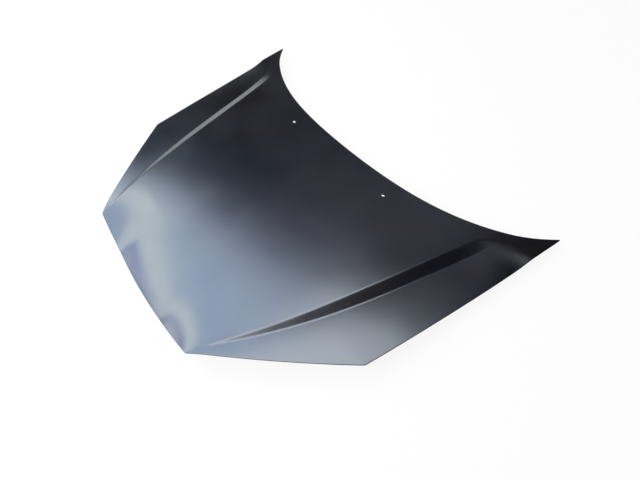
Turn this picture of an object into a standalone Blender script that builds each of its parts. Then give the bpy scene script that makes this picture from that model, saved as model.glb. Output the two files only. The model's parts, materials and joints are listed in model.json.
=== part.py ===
"""Car bonnet: a pressed steel outer panel hemmed round a stamped inner frame.

The bonnet lies skin side up, as it comes to rest on a floor: on the striker loop at the
front and on the two rear corners of the inner frame. The nose points to -Y, the car's left
side is +X and +Z is up. Everything is worked out in the bonnet's own plane first, with y
counted rearward from the line through the nose corners, and then laid on the floor.
"""

import math

import bpy
import numpy as np
from mathutils import Matrix

# Outline of the panel, half of it, in the plane of its edges
NOSE_BULGE = 0.022
NOSE_CORNER_X = 0.320
FRONT_CORNER = (0.636, 0.342)
REAR_TIP = (0.700, 0.988)
REAR_MIDDLE_Y = 0.790
REAR_SQUARE = 0.15
REAR_FOURTH = 0.45
REAR_TIP_FROM_X = 0.600
LAMP_EDGE_BULGE = 0.006
SIDE_EDGE_BULGE = 0.005

# Relief of the skin
RIDGE_X_AT_NOSE = 0.3132
RIDGE_SLOPE = 0.4854
RIDGE_BEND = -0.4492
RIDGE_BEND_BACK = 0.2638
RIDGE_PULLED_IN = 0.024
RIDGE_PULLED_IN_TO_Y = 0.130
RIDGE_AT_REAR = 0.566
CENTRE_BULGE = 0.010
REAR_SAG = 0.003
NOSE_DROP = 0.056
NOSE_DROP_LENGTH = 0.175
NOSE_DROP_X = (0.170, 0.360)
STEP_WIDTH = 0.0385
STEP_SLOPE = 0.32
STEP_GROWS_Y = (0.110, 0.530)
STEP_FADES_Y = (0.790, 0.870)
EDGE_FALL = 0.014
EDGE_FALLS_Y = (-0.080, 0.420)
SHOULDER_ARCH = 0.055

CREASE_ANGLE = 15.0

# Sheets, hem and clearances
SKIN_THICKNESS = 0.0008
FRAME_THICKNESS = 0.0007
GAP = 0.0003
HEM_RADIUS = 0.0012
HEM_WIDTH = 0.0122
EDGE_FLANGE = 0.014
FRAME_EDGE_SET_IN = 0.0018
MASTIC_GAP = 0.0040

# Inner frame
FLOOR_DEPTH = 0.034
FRONT_FLOOR_Z = -0.050
FRONT_FLOOR_Y = (0.115, 0.190)
RIB_FLOOR_DEPTH = 0.024
RIB_PLACE = 0.52
RIB_HALF_WIDTHS = (0.015, 0.027, 0.038)
BEAM_FROM_RIDGE = (0.050, 0.064, 0.078)
BEAM_WALL = 0.016

# Hinge seats
HINGE_SEAT = (0.581, 0.808)
HINGE_SEAT_TURN = math.radians(14.5)
HINGE_SEAT_Z = -0.0335
HINGE_PLATE = (0.046, 0.076, 0.0020)
HINGE_PLATE_CORNER = 0.007
HINGE_BOLT_PITCH = 0.046
HINGE_BOLT_HOLE = 0.0090
NUT_ACROSS_FLATS = 0.0130
NUT_HEIGHT = 0.0080
NUT_FLANGE_DIAMETER = 0.0180
NUT_FLANGE_HEIGHT = 0.0016
NUT_BORE = 0.0068

# Striker
STRIKER_Y = 0.046
STRIKER_PLATE = (0.104, 0.050, 0.0020)
STRIKER_PLATE_CORNER = 0.008
STRIKER_REINFORCEMENT = (0.150, 0.062, 0.0015)
STRIKER_REINFORCEMENT_CORNER = 0.010
LOOP_ROD = 0.0080
LOOP_WIDTH = 0.050
LOOP_REACH = 0.036
LOOP_BEND = 0.011
LOOP_FOOT = 0.014

# Openings
NOZZLE = (0.248, 0.737)
NOZZLE_HOLE = 0.0110
NOZZLE_KEY = (0.0045, 0.0130)
NOZZLE_ACCESS = (0.104, 0.046)
NOZZLE_ACCESS_AT = (0.262, 0.738)
PROP_SLOT = (0.024, 0.012)
PROP_SLOT_AT = (0.400, 0.205)
DRAIN_HOLE = 0.014
FRAME_CUT_Z = (-0.070, -0.024)
SKIN_CUT_Z = (-0.010, 0.020)
DRAIN_HOLES_AT = ((0.215, 0.052), (0.455, 0.262), (0.512, 0.420), (0.550, 0.580))

# Mastic dabs between skin and frame
DAB_DIAMETER = 0.020
DAB_SIDES = 14
ROUND_STEPS = 20


def smooth(low, high, value):
    """A smooth rise from 0 at low to 1 at high."""
    share = np.clip((value - low) / (high - low), 0.0, 1.0)
    return share * share * (3.0 - 2.0 * share)


def nose_edge_y(x):
    return -NOSE_BULGE * (1.0 - (x / NOSE_CORNER_X) ** 2)


def rear_edge_y(x):
    x = np.abs(x)
    tip_rise = REAR_TIP[1] - (REAR_MIDDLE_Y + REAR_SQUARE * REAR_TIP[0] ** 2 + REAR_FOURTH * REAR_TIP[0] ** 4)
    reach = np.clip((x - REAR_TIP_FROM_X) / (REAR_TIP[0] - REAR_TIP_FROM_X), 0.0, None)
    return REAR_MIDDLE_Y + REAR_SQUARE * x**2 + REAR_FOURTH * x**4 + tip_rise * reach**2


def bowed_edge(start, end, bulge, t):
    """A point at share t of the edge from start to end, bowed to its right by bulge."""
    start, end = np.array(start), np.array(end)
    along = end - start
    right = np.array([along[1], -along[0]]) / np.hypot(*along)
    t = np.asarray(t, float)[..., None]
    return start + along * t + right * bulge * 4.0 * t * (1.0 - t)


def nose_edge(t):
    x = NOSE_CORNER_X * np.asarray(t, float)
    return np.stack([x, nose_edge_y(x)], axis=-1)


def lamp_edge(t):
    return bowed_edge((NOSE_CORNER_X, 0.0), FRONT_CORNER, LAMP_EDGE_BULGE, t)


def side_edge(t):
    return bowed_edge(FRONT_CORNER, REAR_TIP, SIDE_EDGE_BULGE, t)


def rear_edge(t):
    """The rear edge from the tip, at share 0, to the middle, at share 1."""
    x = REAR_TIP[0] * (1.0 - np.asarray(t, float))
    return np.stack([x, rear_edge_y(x)], axis=-1)


def set_in(edge, t, inset):
    """The edge's points at shares t, moved inset towards the middle of the panel."""
    step = 1e-5
    along = edge(np.asarray(t) + step) - edge(np.asarray(t) - step)
    left = np.stack([-along[..., 1], along[..., 0]], axis=-1)
    return edge(t) + inset * left / np.linalg.norm(left, axis=-1, keepdims=True)


def corner_shares(first, second, inset):
    """How far along each of two meeting edges, as shares, their set-in copies cross."""
    a = first(1.0) - first(1.0 - 1e-4)
    b = second(1e-4) - second(0.0)
    turn = math.acos(np.clip(a @ b / np.linalg.norm(a) / np.linalg.norm(b), -1.0, 1.0))
    shift = inset * math.tan(turn / 2.0)
    return shift / (np.linalg.norm(a) * 1e4), shift / (np.linalg.norm(b) * 1e4)


def half_outline(inset, nose_shares, side_shares, rear_shares):
    """Points round the right half of the outline, set in by inset, for the three runs of shares.

    The side run counts 0 to 1 along the lamp edge and 1 to 2 along the side edge.
    """
    nose_end, lamp_start = corner_shares(nose_edge, lamp_edge, inset)
    lamp_end, side_start = corner_shares(lamp_edge, side_edge, inset)
    side_end, rear_start = corner_shares(side_edge, rear_edge, inset)
    nose = set_in(nose_edge, np.asarray(nose_shares) * (1.0 - nose_end), inset)
    shares = np.asarray(side_shares)
    on_lamp = lamp_start + shares.clip(0, 1) * (1.0 - lamp_start - lamp_end)
    on_side = side_start + (shares - 1.0).clip(0, 1) * (1.0 - side_start - side_end)
    outer = np.where(shares[:, None] <= 1.0, set_in(lamp_edge, on_lamp, inset), set_in(side_edge, on_side, inset))
    rear = set_in(rear_edge, rear_start + np.asarray(rear_shares) * (1.0 - rear_start), inset)
    outer[0] = nose[-1] = (outer[0] + nose[-1]) / 2.0
    outer[-1] = rear[0] = (outer[-1] + rear[0]) / 2.0
    return nose, outer, rear


def ridge_x(y):
    """Half the distance between the two ridges, at y."""
    pulled_in = RIDGE_PULLED_IN * (1.0 - smooth(0.0, RIDGE_PULLED_IN_TO_Y, y))
    return RIDGE_X_AT_NOSE + RIDGE_SLOPE * y + RIDGE_BEND * y**2 + RIDGE_BEND_BACK * y**3 - pulled_in


def step_width(y):
    share = np.clip((y - STEP_GROWS_Y[0]) / (STEP_GROWS_Y[1] - STEP_GROWS_Y[0]), 0.0, 1.0)
    return STEP_WIDTH * np.sin(math.pi / 2.0 * share)


def outline_x(y):
    """Half the width of the outline at y."""
    t = np.linspace(0.0, 1.0, 40)
    points = np.concatenate([lamp_edge(t), side_edge(t[1:])])
    return np.interp(y, points[:, 1], points[:, 0])


def nose_fall(x, y):
    """How far the nose has curled down at x, y."""
    depth = NOSE_DROP * (1.0 - smooth(NOSE_DROP_X[0], NOSE_DROP_X[1], x))
    return depth * np.clip(1.0 - (y - nose_edge_y(x)) / NOSE_DROP_LENGTH, 0.0, None) ** 2


def middle_height(x, y):
    """Height of the middle panel, kept level beyond the ridges."""
    share = np.clip(y / REAR_MIDDLE_Y, 0.0, 1.0)
    bulge = CENTRE_BULGE * np.sin(math.pi * share) - REAR_SAG * share**2
    across = np.clip(x / ridge_x(y), 0.0, 1.0)
    return bulge * (1.0 - across**2) - nose_fall(x, y)


def skin_height(x, y):
    """Height of the outer face of the skin over the plane of the edges."""
    x = np.abs(x)
    ridge = ridge_x(y)
    width = np.maximum(step_width(y), 1e-4)
    depth = STEP_SLOPE * width * (1.0 - smooth(STEP_FADES_Y[0], STEP_FADES_Y[1], y))
    down_the_face = np.clip((x - ridge) / width, 0.0, 1.0)
    across = np.maximum(outline_x(y) - ridge - width, 0.004)
    shoulder = np.clip((x - ridge - width) / across, 0.0, 1.0)
    fall = EDGE_FALL * smooth(EDGE_FALLS_Y[0], EDGE_FALLS_Y[1], y)
    rise = (depth - fall) * shoulder + SHOULDER_ARCH * across * shoulder * (1.0 - shoulder)
    return middle_height(x, y) - depth * down_the_face + rise


def skin_normal(x, y):
    step = 1e-4
    slope_x = (skin_height(x + step, y) - skin_height(x - step, y)) / (2.0 * step)
    slope_y = (skin_height(x, y + step) - skin_height(x, y - step)) / (2.0 * step)
    normal = np.stack([-slope_x, -slope_y, np.ones_like(slope_x)], axis=-1)
    return normal / np.linalg.norm(normal, axis=-1, keepdims=True)


def on_skin(plan, depth=0.0):
    """Points of the skin over the plan points, set below its outer face by depth."""
    x, y = plan[..., 0], plan[..., 1]
    surface = np.stack([x, y, skin_height(x, y)], axis=-1)
    return surface - depth * skin_normal(x, y)


# Lines of the shared grid, so that the facets of skin and frame run parallel
CENTRE_ROWS = np.array(
    [0, 14, 48, 92, 106, 118, 180, 242, 300, 312, 326, 356, 370, 382, 450, 520, 590, 602, 618, 656, 706, 764, 778]
) / 778.0
CORNER_ROW = 8
FRONT_WALL, FRONT_BEAM_END = 1, 3
FRONT_WINDOW = (5, 8)
CROSS_RIB_FLOOR = (10, 11)
REAR_WINDOW = (13, 16)
REAR_BEAM_START, REAR_WALL = 18, 21
HINGE_SEAT_ROWS = (19, 21)
HINGE_SEAT_COLUMNS = (14, 17)
MIDDLE_WINDOW = (0, 3)
RIB_FLOOR = (5, 6)
SIDE_WINDOW = (8, 11)
BEAM_FLOOR = 13
RIDGE_COLUMN = 14
LEAST_STEP = 0.003
OUTER_WALL = 19
LAST_COLUMN = 20


def column_places(ridge, foot, outer, step):
    """Distances from the middle of the grid's columns, from ridge, foot and outer edge."""
    rib = RIB_PLACE * ridge
    near, middle, far = RIB_HALF_WIDTHS
    windows_edge = ridge - BEAM_FROM_RIDGE[2]
    wall_share = min(BEAM_WALL / max(outer - foot, 1e-4), 0.3)
    wall = outer - wall_share * (outer - foot)
    fillet = foot + 0.25 * min(step, wall - foot)
    return [
        0.0,
        (rib - far) / 3.0,
        (rib - far) * 2.0 / 3.0,
        rib - far,
        rib - middle,
        rib - near,
        rib + near,
        rib + middle,
        rib + far,
        rib + far + (windows_edge - rib - far) / 3.0,
        rib + far + (windows_edge - rib - far) * 2.0 / 3.0,
        windows_edge,
        ridge - BEAM_FROM_RIDGE[1],
        ridge - BEAM_FROM_RIDGE[0],
        ridge,
        foot,
        fillet,
        fillet + (wall - fillet) / 3.0,
        fillet + (wall - fillet) * 2.0 / 3.0,
        wall,
        outer,
    ]


def side_shares_of_rows():
    v = CENTRE_ROWS
    corner = v[CORNER_ROW]
    return np.where(v <= corner, v / corner, 1.0 + (v - corner) / (1.0 - corner))


def half_grid():
    """Plan points of the grid on the right half, rows by columns, and the shares round its edge."""
    side_shares = side_shares_of_rows()
    ends = np.array([0.0, 1.0])
    nose, outer, rear = half_outline(EDGE_FLANGE, ends, side_shares, ends)
    start = float(ridge_x(nose[0, 1] + NOSE_BULGE))
    end = float(ridge_x(rear_edge_y(RIDGE_AT_REAR) - EDGE_FLANGE))
    nose_x = np.array(column_places(start, start + LEAST_STEP, nose[-1, 0], STEP_WIDTH))
    rear_x = np.array(column_places(end, end + STEP_WIDTH, rear[0, 0], STEP_WIDTH))
    nose_shares = nose_x / nose_x[-1]
    rear_shares = 1.0 - rear_x / rear_x[-1]
    nose, outer, rear = half_outline(EDGE_FLANGE, nose_shares, side_shares, rear_shares[::-1])
    rear = rear[::-1]
    rows = len(CENTRE_ROWS)
    grid = np.zeros((rows, LAST_COLUMN + 1, 2))
    for row, v in enumerate(CENTRE_ROWS):
        middle_y = nose[0, 1] + v * (rear[0, 1] - nose[0, 1])
        ridge_y = nose[RIDGE_COLUMN, 1] + v * (rear[RIDGE_COLUMN, 1] - nose[RIDGE_COLUMN, 1])
        ridge = float(ridge_x(ridge_y))
        edge = outer[row]
        foot = ridge + max(float(step_width(ridge_y)), LEAST_STEP)
        x = np.array(column_places(ridge, foot, edge[0], STEP_WIDTH))
        y = np.interp(x, [0.0, ridge, edge[0]], [middle_y, ridge_y, edge[1]])
        grid[row] = np.stack([x, y], axis=-1)
    toward_nose = (nose - grid[0])[None] * ((1.0 - CENTRE_ROWS) ** 3)[:, None, None]
    toward_rear = (rear - grid[-1])[None] * (CENTRE_ROWS**3)[:, None, None]
    grid += toward_nose + toward_rear
    grid[:, -1] = outer
    grid[:, 0, 0] = 0.0
    settle_ridge(grid)
    return grid, nose_shares, side_shares, rear_shares


def settle_ridge(grid):
    """Puts the ridge and foot columns back on their lines after the ends were fitted."""
    for row in range(1, len(grid) - 1):
        y = grid[row, RIDGE_COLUMN, 1]
        grid[row, RIDGE_COLUMN, 0] = ridge_x(y)
        y = grid[row, RIDGE_COLUMN + 1, 1]
        grid[row, RIDGE_COLUMN + 1, 0] = ridge_x(y) + max(float(step_width(y)), LEAST_STEP)


def whole_grid(half):
    """Both halves, from the car's right edge to its left edge."""
    mirrored = half[:, :0:-1] * np.array([-1.0, 1.0])
    return np.concatenate([mirrored, half], axis=1)


def rim(rows, columns):
    """Row and column of each grid point round the edge, the way round that leaves the middle on the left."""
    run = [(0, c) for c in range(columns - 1)]
    run += [(r, columns - 1) for r in range(rows - 1)]
    run += [(rows - 1, c) for c in range(columns - 1, 0, -1)]
    run += [(r, 0) for r in range(rows - 1, 0, -1)]
    return run


def on_left_half(edge):
    """Whether each step round the edge is on the half towards -X."""
    columns = np.array([column for row, column in edge])
    return columns + np.roll(columns, -1) < 2 * LAST_COLUMN


def outline_ring(inset, nose_shares, side_shares, rear_shares):
    """Plan points round the outline, set in by inset, in the order of rim()."""
    nose, outer, rear = half_outline(inset, nose_shares, side_shares, rear_shares[::-1])
    right = np.concatenate([nose, outer[1:], rear[1:]])
    left = right[-2:0:-1] * np.array([-1.0, 1.0])
    loop = np.concatenate([right, left])
    return np.roll(loop, len(nose) - 1, axis=0)


class Solid:
    """Gathers points and triangles of one closed body."""

    def __init__(self):
        self.points = []
        self.faces = []
        self.count = 0

    def add(self, points):
        points = np.asarray(points, float).reshape(-1, 3)
        self.points.append(points)
        self.count += len(points)
        return np.arange(self.count - len(points), self.count)

    def strip(self, inner, outer, turned=None):
        """Joins two closed rings of the same length, with the other diagonal where turned is true."""
        for k in range(len(inner)):
            n = (k + 1) % len(inner)
            if turned is not None and turned[k]:
                self.faces.append((inner[k], outer[k], inner[n]))
                self.faces.append((outer[k], outer[n], inner[n]))
            else:
                self.faces.append((inner[k], outer[k], outer[n]))
                self.faces.append((inner[k], outer[n], inner[n]))

    def fan(self, ring, centre):
        for k in range(len(ring)):
            self.faces.append((centre, ring[k], ring[(k + 1) % len(ring)]))

    def make(self, name, material=None, smooth_angle=None):
        mesh = bpy.data.meshes.new(name)
        mesh.from_pydata(np.concatenate(self.points).tolist(), [], [tuple(map(int, f)) for f in self.faces])
        if smooth_angle is not None:
            mesh.shade_smooth()
            mesh.set_sharp_from_angle(angle=smooth_angle)
        if material is not None:
            mesh.materials.append(material)
        made = bpy.data.objects.new(name, mesh)
        bpy.context.collection.objects.link(made)
        return made

    def make_cutter(self, name):
        cutter = self.make(name)
        cutter.hide_render = True
        cutter.display_type = "WIRE"
        return cutter


def grid_cells(rows, columns):
    return [(r, c) for r in range(rows - 1) for c in range(columns - 1)]


def cell_faces(index, row, column):
    """Two triangles of a cell, its diagonal mirrored on the two halves."""
    a, b = index[row, column], index[row, column + 1]
    c, d = index[row + 1, column + 1], index[row + 1, column]
    if column < LAST_COLUMN:
        return [(a, b, d), (b, c, d)]
    return [(a, b, c), (a, c, d)]


def paint(name, colour, roughness, metallic):
    made = bpy.data.materials.new(name)
    made.use_nodes = True
    shader = made.node_tree.nodes["Principled BSDF"]
    shader.inputs["Base Color"].default_value = (*colour, 1.0)
    shader.inputs["Roughness"].default_value = roughness
    shader.inputs["Metallic"].default_value = metallic
    return made


def make_outer_panel(plan, shares, material):
    """The skin: one sheet, its edge folded back under the frame all round."""
    rows, columns = plan.shape[:2]
    skin = Solid()
    top = skin.add(on_skin(plan)).reshape(rows, columns)
    under = skin.add(on_skin(plan, SKIN_THICKNESS)).reshape(rows, columns)
    for row, column in grid_cells(rows, columns):
        for a, b, c in cell_faces(top, row, column):
            skin.faces.append((a, b, c))
        for a, b, c in cell_faces(under, row, column):
            skin.faces.append((c, b, a))
    slot = GAP + FRAME_THICKNESS + GAP
    fold = 2.0 * SKIN_THICKNESS + slot
    profile = [
        (HEM_RADIUS, 0.0),
        (HEM_RADIUS * 0.15, fold / 2.0),
        (HEM_RADIUS, fold),
        (HEM_WIDTH, fold),
        (HEM_WIDTH, fold - SKIN_THICKNESS),
        (HEM_RADIUS + GAP, fold - SKIN_THICKNESS),
        (HEM_RADIUS + GAP, SKIN_THICKNESS),
    ]
    edge = rim(rows, columns)
    ring = np.array([top[r, c] for r, c in edge])
    left_half = on_left_half(edge)
    last_inset = EDGE_FLANGE
    for inset, depth in profile:
        following = skin.add(on_skin(outline_ring(inset, *shares), depth))
        skin.strip(ring, following, left_half ^ (inset < last_inset))
        ring, last_inset = following, inset
    skin.strip(ring, np.array([under[r, c] for r, c in edge]), left_half)
    return skin.make("outer_panel", material, math.radians(CREASE_ANGLE))


def distance_to_outline(plan, shares):
    """Distance of each plan point from the outline."""
    loop = outline_ring(0.0, *shares)
    ahead = np.roll(loop, -1, axis=0)
    along = ahead - loop
    offset = plan[..., None, :] - loop
    share = np.clip((offset * along).sum(-1) / (along**2).sum(-1), 0.0, 1.0)
    return np.linalg.norm(offset - share[..., None] * along, axis=-1).min(-1)


def floor_height(x, y):
    """Height of the floor of the frame's channels, on their upper side."""
    x = np.abs(x)
    level = middle_height(x, y) + nose_fall(x, y) - FLOOR_DEPTH
    front = 1.0 - smooth(FRONT_FLOOR_Y[0], FRONT_FLOOR_Y[1], y)
    return level * (1.0 - front) + FRONT_FLOOR_Z * front


def hinge_seats(shape):
    """The grid points of the two flat seats that the hinges bolt to."""
    seat = np.zeros(shape, bool)
    rows = slice(HINGE_SEAT_ROWS[0], HINGE_SEAT_ROWS[1] + 1)
    first, last = HINGE_SEAT_COLUMNS
    seat[rows, LAST_COLUMN + first : LAST_COLUMN + last + 1] = True
    seat[rows, LAST_COLUMN - last : LAST_COLUMN - first + 1] = True
    return seat


def in_span(value, span):
    return span[0] <= value < span[1]


def frame_depths(rows):
    """How much of the floor's depth each grid point has: 1 on a channel floor, 0 on a flange."""
    share = np.zeros((rows, LAST_COLUMN + 1))
    share[FRONT_WALL : FRONT_BEAM_END + 1] = 1.0
    share[REAR_BEAM_START : REAR_WALL + 1] = 1.0
    share[FRONT_WALL : REAR_WALL + 1, BEAM_FLOOR : OUTER_WALL + 1] = 1.0
    share[FRONT_WALL : REAR_WALL + 1, RIB_FLOOR[0] : RIB_FLOOR[1] + 1] = 1.0
    share[CROSS_RIB_FLOOR[0] : CROSS_RIB_FLOOR[1] + 1, : BEAM_FLOOR + 1] = 1.0
    return share


def is_window(row, column):
    """Whether the cell is inside an opening of the frame, counting columns from the middle."""
    in_rows = in_span(row, FRONT_WINDOW) or in_span(row, REAR_WINDOW)
    return in_rows and (in_span(column, MIDDLE_WINDOW) or in_span(column, SIDE_WINDOW))


def window_corner(row, column):
    """The corner of the window that this cell fills, as row and column steps, or None."""
    if not is_window(row, column):
        return None
    rows = FRONT_WINDOW if in_span(row, FRONT_WINDOW) else REAR_WINDOW
    columns = SIDE_WINDOW if in_span(column, SIDE_WINDOW) else MIDDLE_WINDOW
    at_end = (row == rows[0], row == rows[1] - 1, column == columns[0], column == columns[1] - 1)
    if columns is MIDDLE_WINDOW and at_end[2]:
        return None
    if (at_end[0] or at_end[1]) and (at_end[2] or at_end[3]):
        return (0 if at_end[0] else 1, 0 if at_end[2] else 1)
    return None


def frame_faces(index):
    """Triangles of the frame's sheet, its windows left open with cut corners."""
    rows, columns = index.shape
    faces = []
    for row, column in grid_cells(rows, columns):
        own = column - LAST_COLUMN if column >= LAST_COLUMN else LAST_COLUMN - 1 - column
        if not is_window(row, own):
            faces += cell_faces(index, row, column)
            continue
        corner = window_corner(row, own)
        if corner is None:
            continue
        r = row + corner[0]
        c = column + (corner[1] if column >= LAST_COLUMN else 1 - corner[1])
        other_r = 2 * row + 1 - r
        other_c = 2 * column + 1 - c
        triangle = [index[r, c], index[r, other_c], index[other_r, c]]
        upright = (other_c - c) * (other_r - r) > 0
        faces.append(tuple(triangle if upright else triangle[::-1]))
    return faces


def thicken(name, points, faces, thickness, material, smooth_angle):
    """A closed sheet: the faces, their copy set below by the thickness, and walls on the free edges."""
    points = np.asarray(points, float)
    faces = np.asarray(faces, int)
    corners = points[faces]
    face_normals = np.cross(corners[:, 1] - corners[:, 0], corners[:, 2] - corners[:, 0])
    weighted = np.zeros_like(points)
    for k in range(3):
        np.add.at(weighted, faces[:, k], face_normals)
    normals = weighted / np.maximum(np.linalg.norm(weighted, axis=1, keepdims=True), 1e-12)
    unit = face_normals / np.linalg.norm(face_normals, axis=1, keepdims=True)
    lean = np.zeros(len(points))
    met = np.zeros(len(points))
    for k in range(3):
        np.add.at(lean, faces[:, k], (unit * normals[faces[:, k]]).sum(1))
        np.add.at(met, faces[:, k], 1.0)
    stretch = 1.0 / np.clip(lean / np.maximum(met, 1.0), 0.6, 1.0)
    used = np.unique(faces)
    place = np.full(len(points), -1)
    place[used] = np.arange(len(used))
    sheet = Solid()
    upper = sheet.add(points[used])
    lower = sheet.add((points - normals * (thickness * stretch)[:, None])[used])
    edges = {}
    for a, b, c in place[faces]:
        sheet.faces.append((upper[a], upper[b], upper[c]))
        sheet.faces.append((lower[c], lower[b], lower[a]))
        for start, end in ((a, b), (b, c), (c, a)):
            edges[(start, end)] = True
    for start, end in edges:
        if (end, start) not in edges:
            sheet.faces.append((upper[end], upper[start], lower[start]))
            sheet.faces.append((upper[end], lower[start], lower[end]))
    return sheet.make(name, material, smooth_angle)


def make_inner_frame(plan, shares, material):
    """The stamped frame: channels round the edge and across, flanges near the skin, open windows."""
    rows, columns = plan.shape[:2]
    share = frame_depths(rows)
    share = np.concatenate([share[:, :0:-1], share], axis=1)
    seat = hinge_seats(share.shape)
    distance = distance_to_outline(plan, shares)
    share = np.where(seat, 1.0, share * smooth(EDGE_FLANGE + 0.002, EDGE_FLANGE + 0.012, distance))
    from_edge = smooth(EDGE_FLANGE + 0.001, EDGE_FLANGE + 0.012, distance)
    hem_depth = SKIN_THICKNESS + GAP
    flange_depth = hem_depth + from_edge * (MASTIC_GAP - GAP)
    x, y = plan[..., 0], plan[..., 1]
    flange = np.stack([x, y, skin_height(x, y)], axis=-1) - flange_depth[..., None] * skin_normal(x, y)
    floor = np.stack([x, y, floor_height(x, y)], axis=-1)
    in_rib = np.zeros((rows, LAST_COLUMN + 1), bool)
    in_rib[FRONT_WINDOW[0] : REAR_WINDOW[1] + 1, : MIDDLE_WINDOW[1] + 6] = True
    in_rib = np.concatenate([in_rib[:, :0:-1], in_rib], axis=1)
    floor[..., 2] += np.where(in_rib, FLOOR_DEPTH - RIB_FLOOR_DEPTH, 0.0)
    floor[seat, 2] = HINGE_SEAT_Z
    sheet = flange * (1.0 - share[..., None]) + floor * share[..., None]
    index = np.arange(rows * columns).reshape(rows, columns)
    faces = frame_faces(index)
    edge = [index[r, c] for r, c in rim(rows, columns)]
    ring = outline_ring(FRAME_EDGE_SET_IN, *shares)
    first = rows * columns
    for k, left in enumerate(on_left_half(rim(rows, columns))):
        n = (k + 1) % len(edge)
        if left:
            faces.append((edge[k], first + k, first + n))
            faces.append((edge[k], first + n, edge[n]))
        else:
            faces.append((edge[k], first + k, edge[n]))
            faces.append((first + k, first + n, edge[n]))
    points = np.concatenate([sheet.reshape(-1, 3), on_skin(ring, hem_depth)])
    return thicken("inner_frame", points, faces, FRAME_THICKNESS, material, math.radians(CREASE_ANGLE))


def prism(outline, centre, low, high):
    """A closed prism over a plan outline that is seen whole from its centre, from low to high."""
    body = Solid()
    outline = np.asarray(outline, float)
    bottom = body.add(np.column_stack([outline, np.full(len(outline), low)]))
    top = body.add(np.column_stack([outline, np.full(len(outline), high)]))
    centres = body.add([(*centre, low), (*centre, high)])
    body.fan(bottom[::-1], centres[0])
    body.fan(top, centres[1])
    body.strip(top, bottom)
    return body


def circle(centre, diameter, steps=ROUND_STEPS):
    angle = np.arange(steps) * (2.0 * math.pi / steps)
    return np.column_stack([centre[0] + diameter / 2.0 * np.cos(angle), centre[1] + diameter / 2.0 * np.sin(angle)])


def obround(centre, length, width, steps=8):
    """A slot outline, long in x, with round ends."""
    run = (length - width) / 2.0
    right = np.linspace(-math.pi / 2.0, math.pi / 2.0, steps)
    left = right + math.pi
    ends = [(run + width / 2.0 * np.cos(right), width / 2.0 * np.sin(right))]
    ends += [(-run + width / 2.0 * np.cos(left), width / 2.0 * np.sin(left))]
    x = np.concatenate([ends[0][0], ends[1][0]]) + centre[0]
    y = np.concatenate([ends[0][1], ends[1][1]]) + centre[1]
    return np.column_stack([x, y])


def rounded_rectangle(centre, size, corner, steps=4):
    points = []
    for turn, (sx, sy) in enumerate(((1, -1), (1, 1), (-1, 1), (-1, -1))):
        angles = np.linspace(0.0, math.pi / 2.0, steps) + (turn - 1) * math.pi / 2.0
        for angle in angles:
            x = centre[0] + sx * (size[0] / 2.0 - corner) + corner * math.cos(angle)
            y = centre[1] + sy * (size[1] / 2.0 - corner) + corner * math.sin(angle)
            points.append((x, y))
    return points


def keyhole(centre):
    """A round hole with a narrow slot on its rear side, for the nozzle's key."""
    half, reach = NOZZLE_KEY[0] / 2.0, NOZZLE_KEY[1]
    radius = NOZZLE_HOLE / 2.0
    foot = math.asin(half / radius)
    angles = np.linspace(math.pi / 2.0 + foot, math.pi * 2.5 - foot, ROUND_STEPS)
    points = [(centre[0] + radius * math.cos(a), centre[1] + radius * math.sin(a)) for a in angles]
    points += [(centre[0] + half, centre[1] + reach), (centre[0] - half, centre[1] + reach)]
    return points


def frame_openings(side):
    """Name, outline and middle of each opening cut in the frame on one side."""
    place = (side * NOZZLE_ACCESS_AT[0], NOZZLE_ACCESS_AT[1])
    yield "access", obround(place, *NOZZLE_ACCESS), place
    place = (side * PROP_SLOT_AT[0], PROP_SLOT_AT[1])
    yield "prop", obround(place, *PROP_SLOT), place
    for number, (x, y) in enumerate(DRAIN_HOLES_AT):
        yield f"drain_{number + 1}", circle((side * x, y), DRAIN_HOLE), (side * x, y)


def cut(target, cutter):
    modifier = target.modifiers.new("cut by " + cutter.name, "BOOLEAN")
    modifier.operation = "DIFFERENCE"
    modifier.solver = "EXACT"
    modifier.object = cutter


def make_nut(name, centre, seat_z, material):
    """A weld nut: a round flange under a hexagon, with a plain bore."""
    nut = Solid()
    steps = 24
    angle = np.arange(steps) * (2.0 * math.pi / steps)
    apothem = NUT_ACROSS_FLATS / 2.0
    hexagon = apothem / np.cos((angle + math.pi / 6.0) % (math.pi / 3.0) - math.pi / 6.0)
    flange = np.full(steps, NUT_FLANGE_DIAMETER / 2.0)
    bore = np.full(steps, NUT_BORE / 2.0)
    levels = [
        (bore, 0.0),
        (flange, 0.0),
        (flange, NUT_FLANGE_HEIGHT),
        (hexagon, NUT_FLANGE_HEIGHT),
        (hexagon, NUT_HEIGHT),
        (bore, NUT_HEIGHT),
    ]
    rings = []
    for radius, height in levels:
        x = centre[0] + radius * np.cos(angle)
        y = centre[1] + radius * np.sin(angle)
        rings.append(nut.add(np.column_stack([x, y, np.full(steps, seat_z + height)])))
    for first, second in zip(rings, rings[1:] + rings[:1]):
        nut.strip(second, first)
    return nut.make(name, material, math.radians(30))


def make_hinge_plate(name, side, low, material):
    """The flat plate that spreads the hinge bolts' load inside the frame."""
    outline = on_hinge_seat(side, rounded_rectangle((0.0, 0.0), HINGE_PLATE[:2], HINGE_PLATE_CORNER))
    middle = (side * HINGE_SEAT[0], HINGE_SEAT[1])
    return prism(outline, middle, low, low + HINGE_PLATE[2]).make(name, material)


def on_hinge_seat(side, places):
    """Plan points given about the middle of a hinge seat, turned to follow the ridge."""
    places = np.asarray(places, float)
    turn = side * HINGE_SEAT_TURN
    across = places[:, 0] * math.cos(turn) + places[:, 1] * math.sin(turn)
    along = places[:, 1] * math.cos(turn) - places[:, 0] * math.sin(turn)
    return np.column_stack([side * HINGE_SEAT[0] + across, HINGE_SEAT[1] + along])


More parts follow.
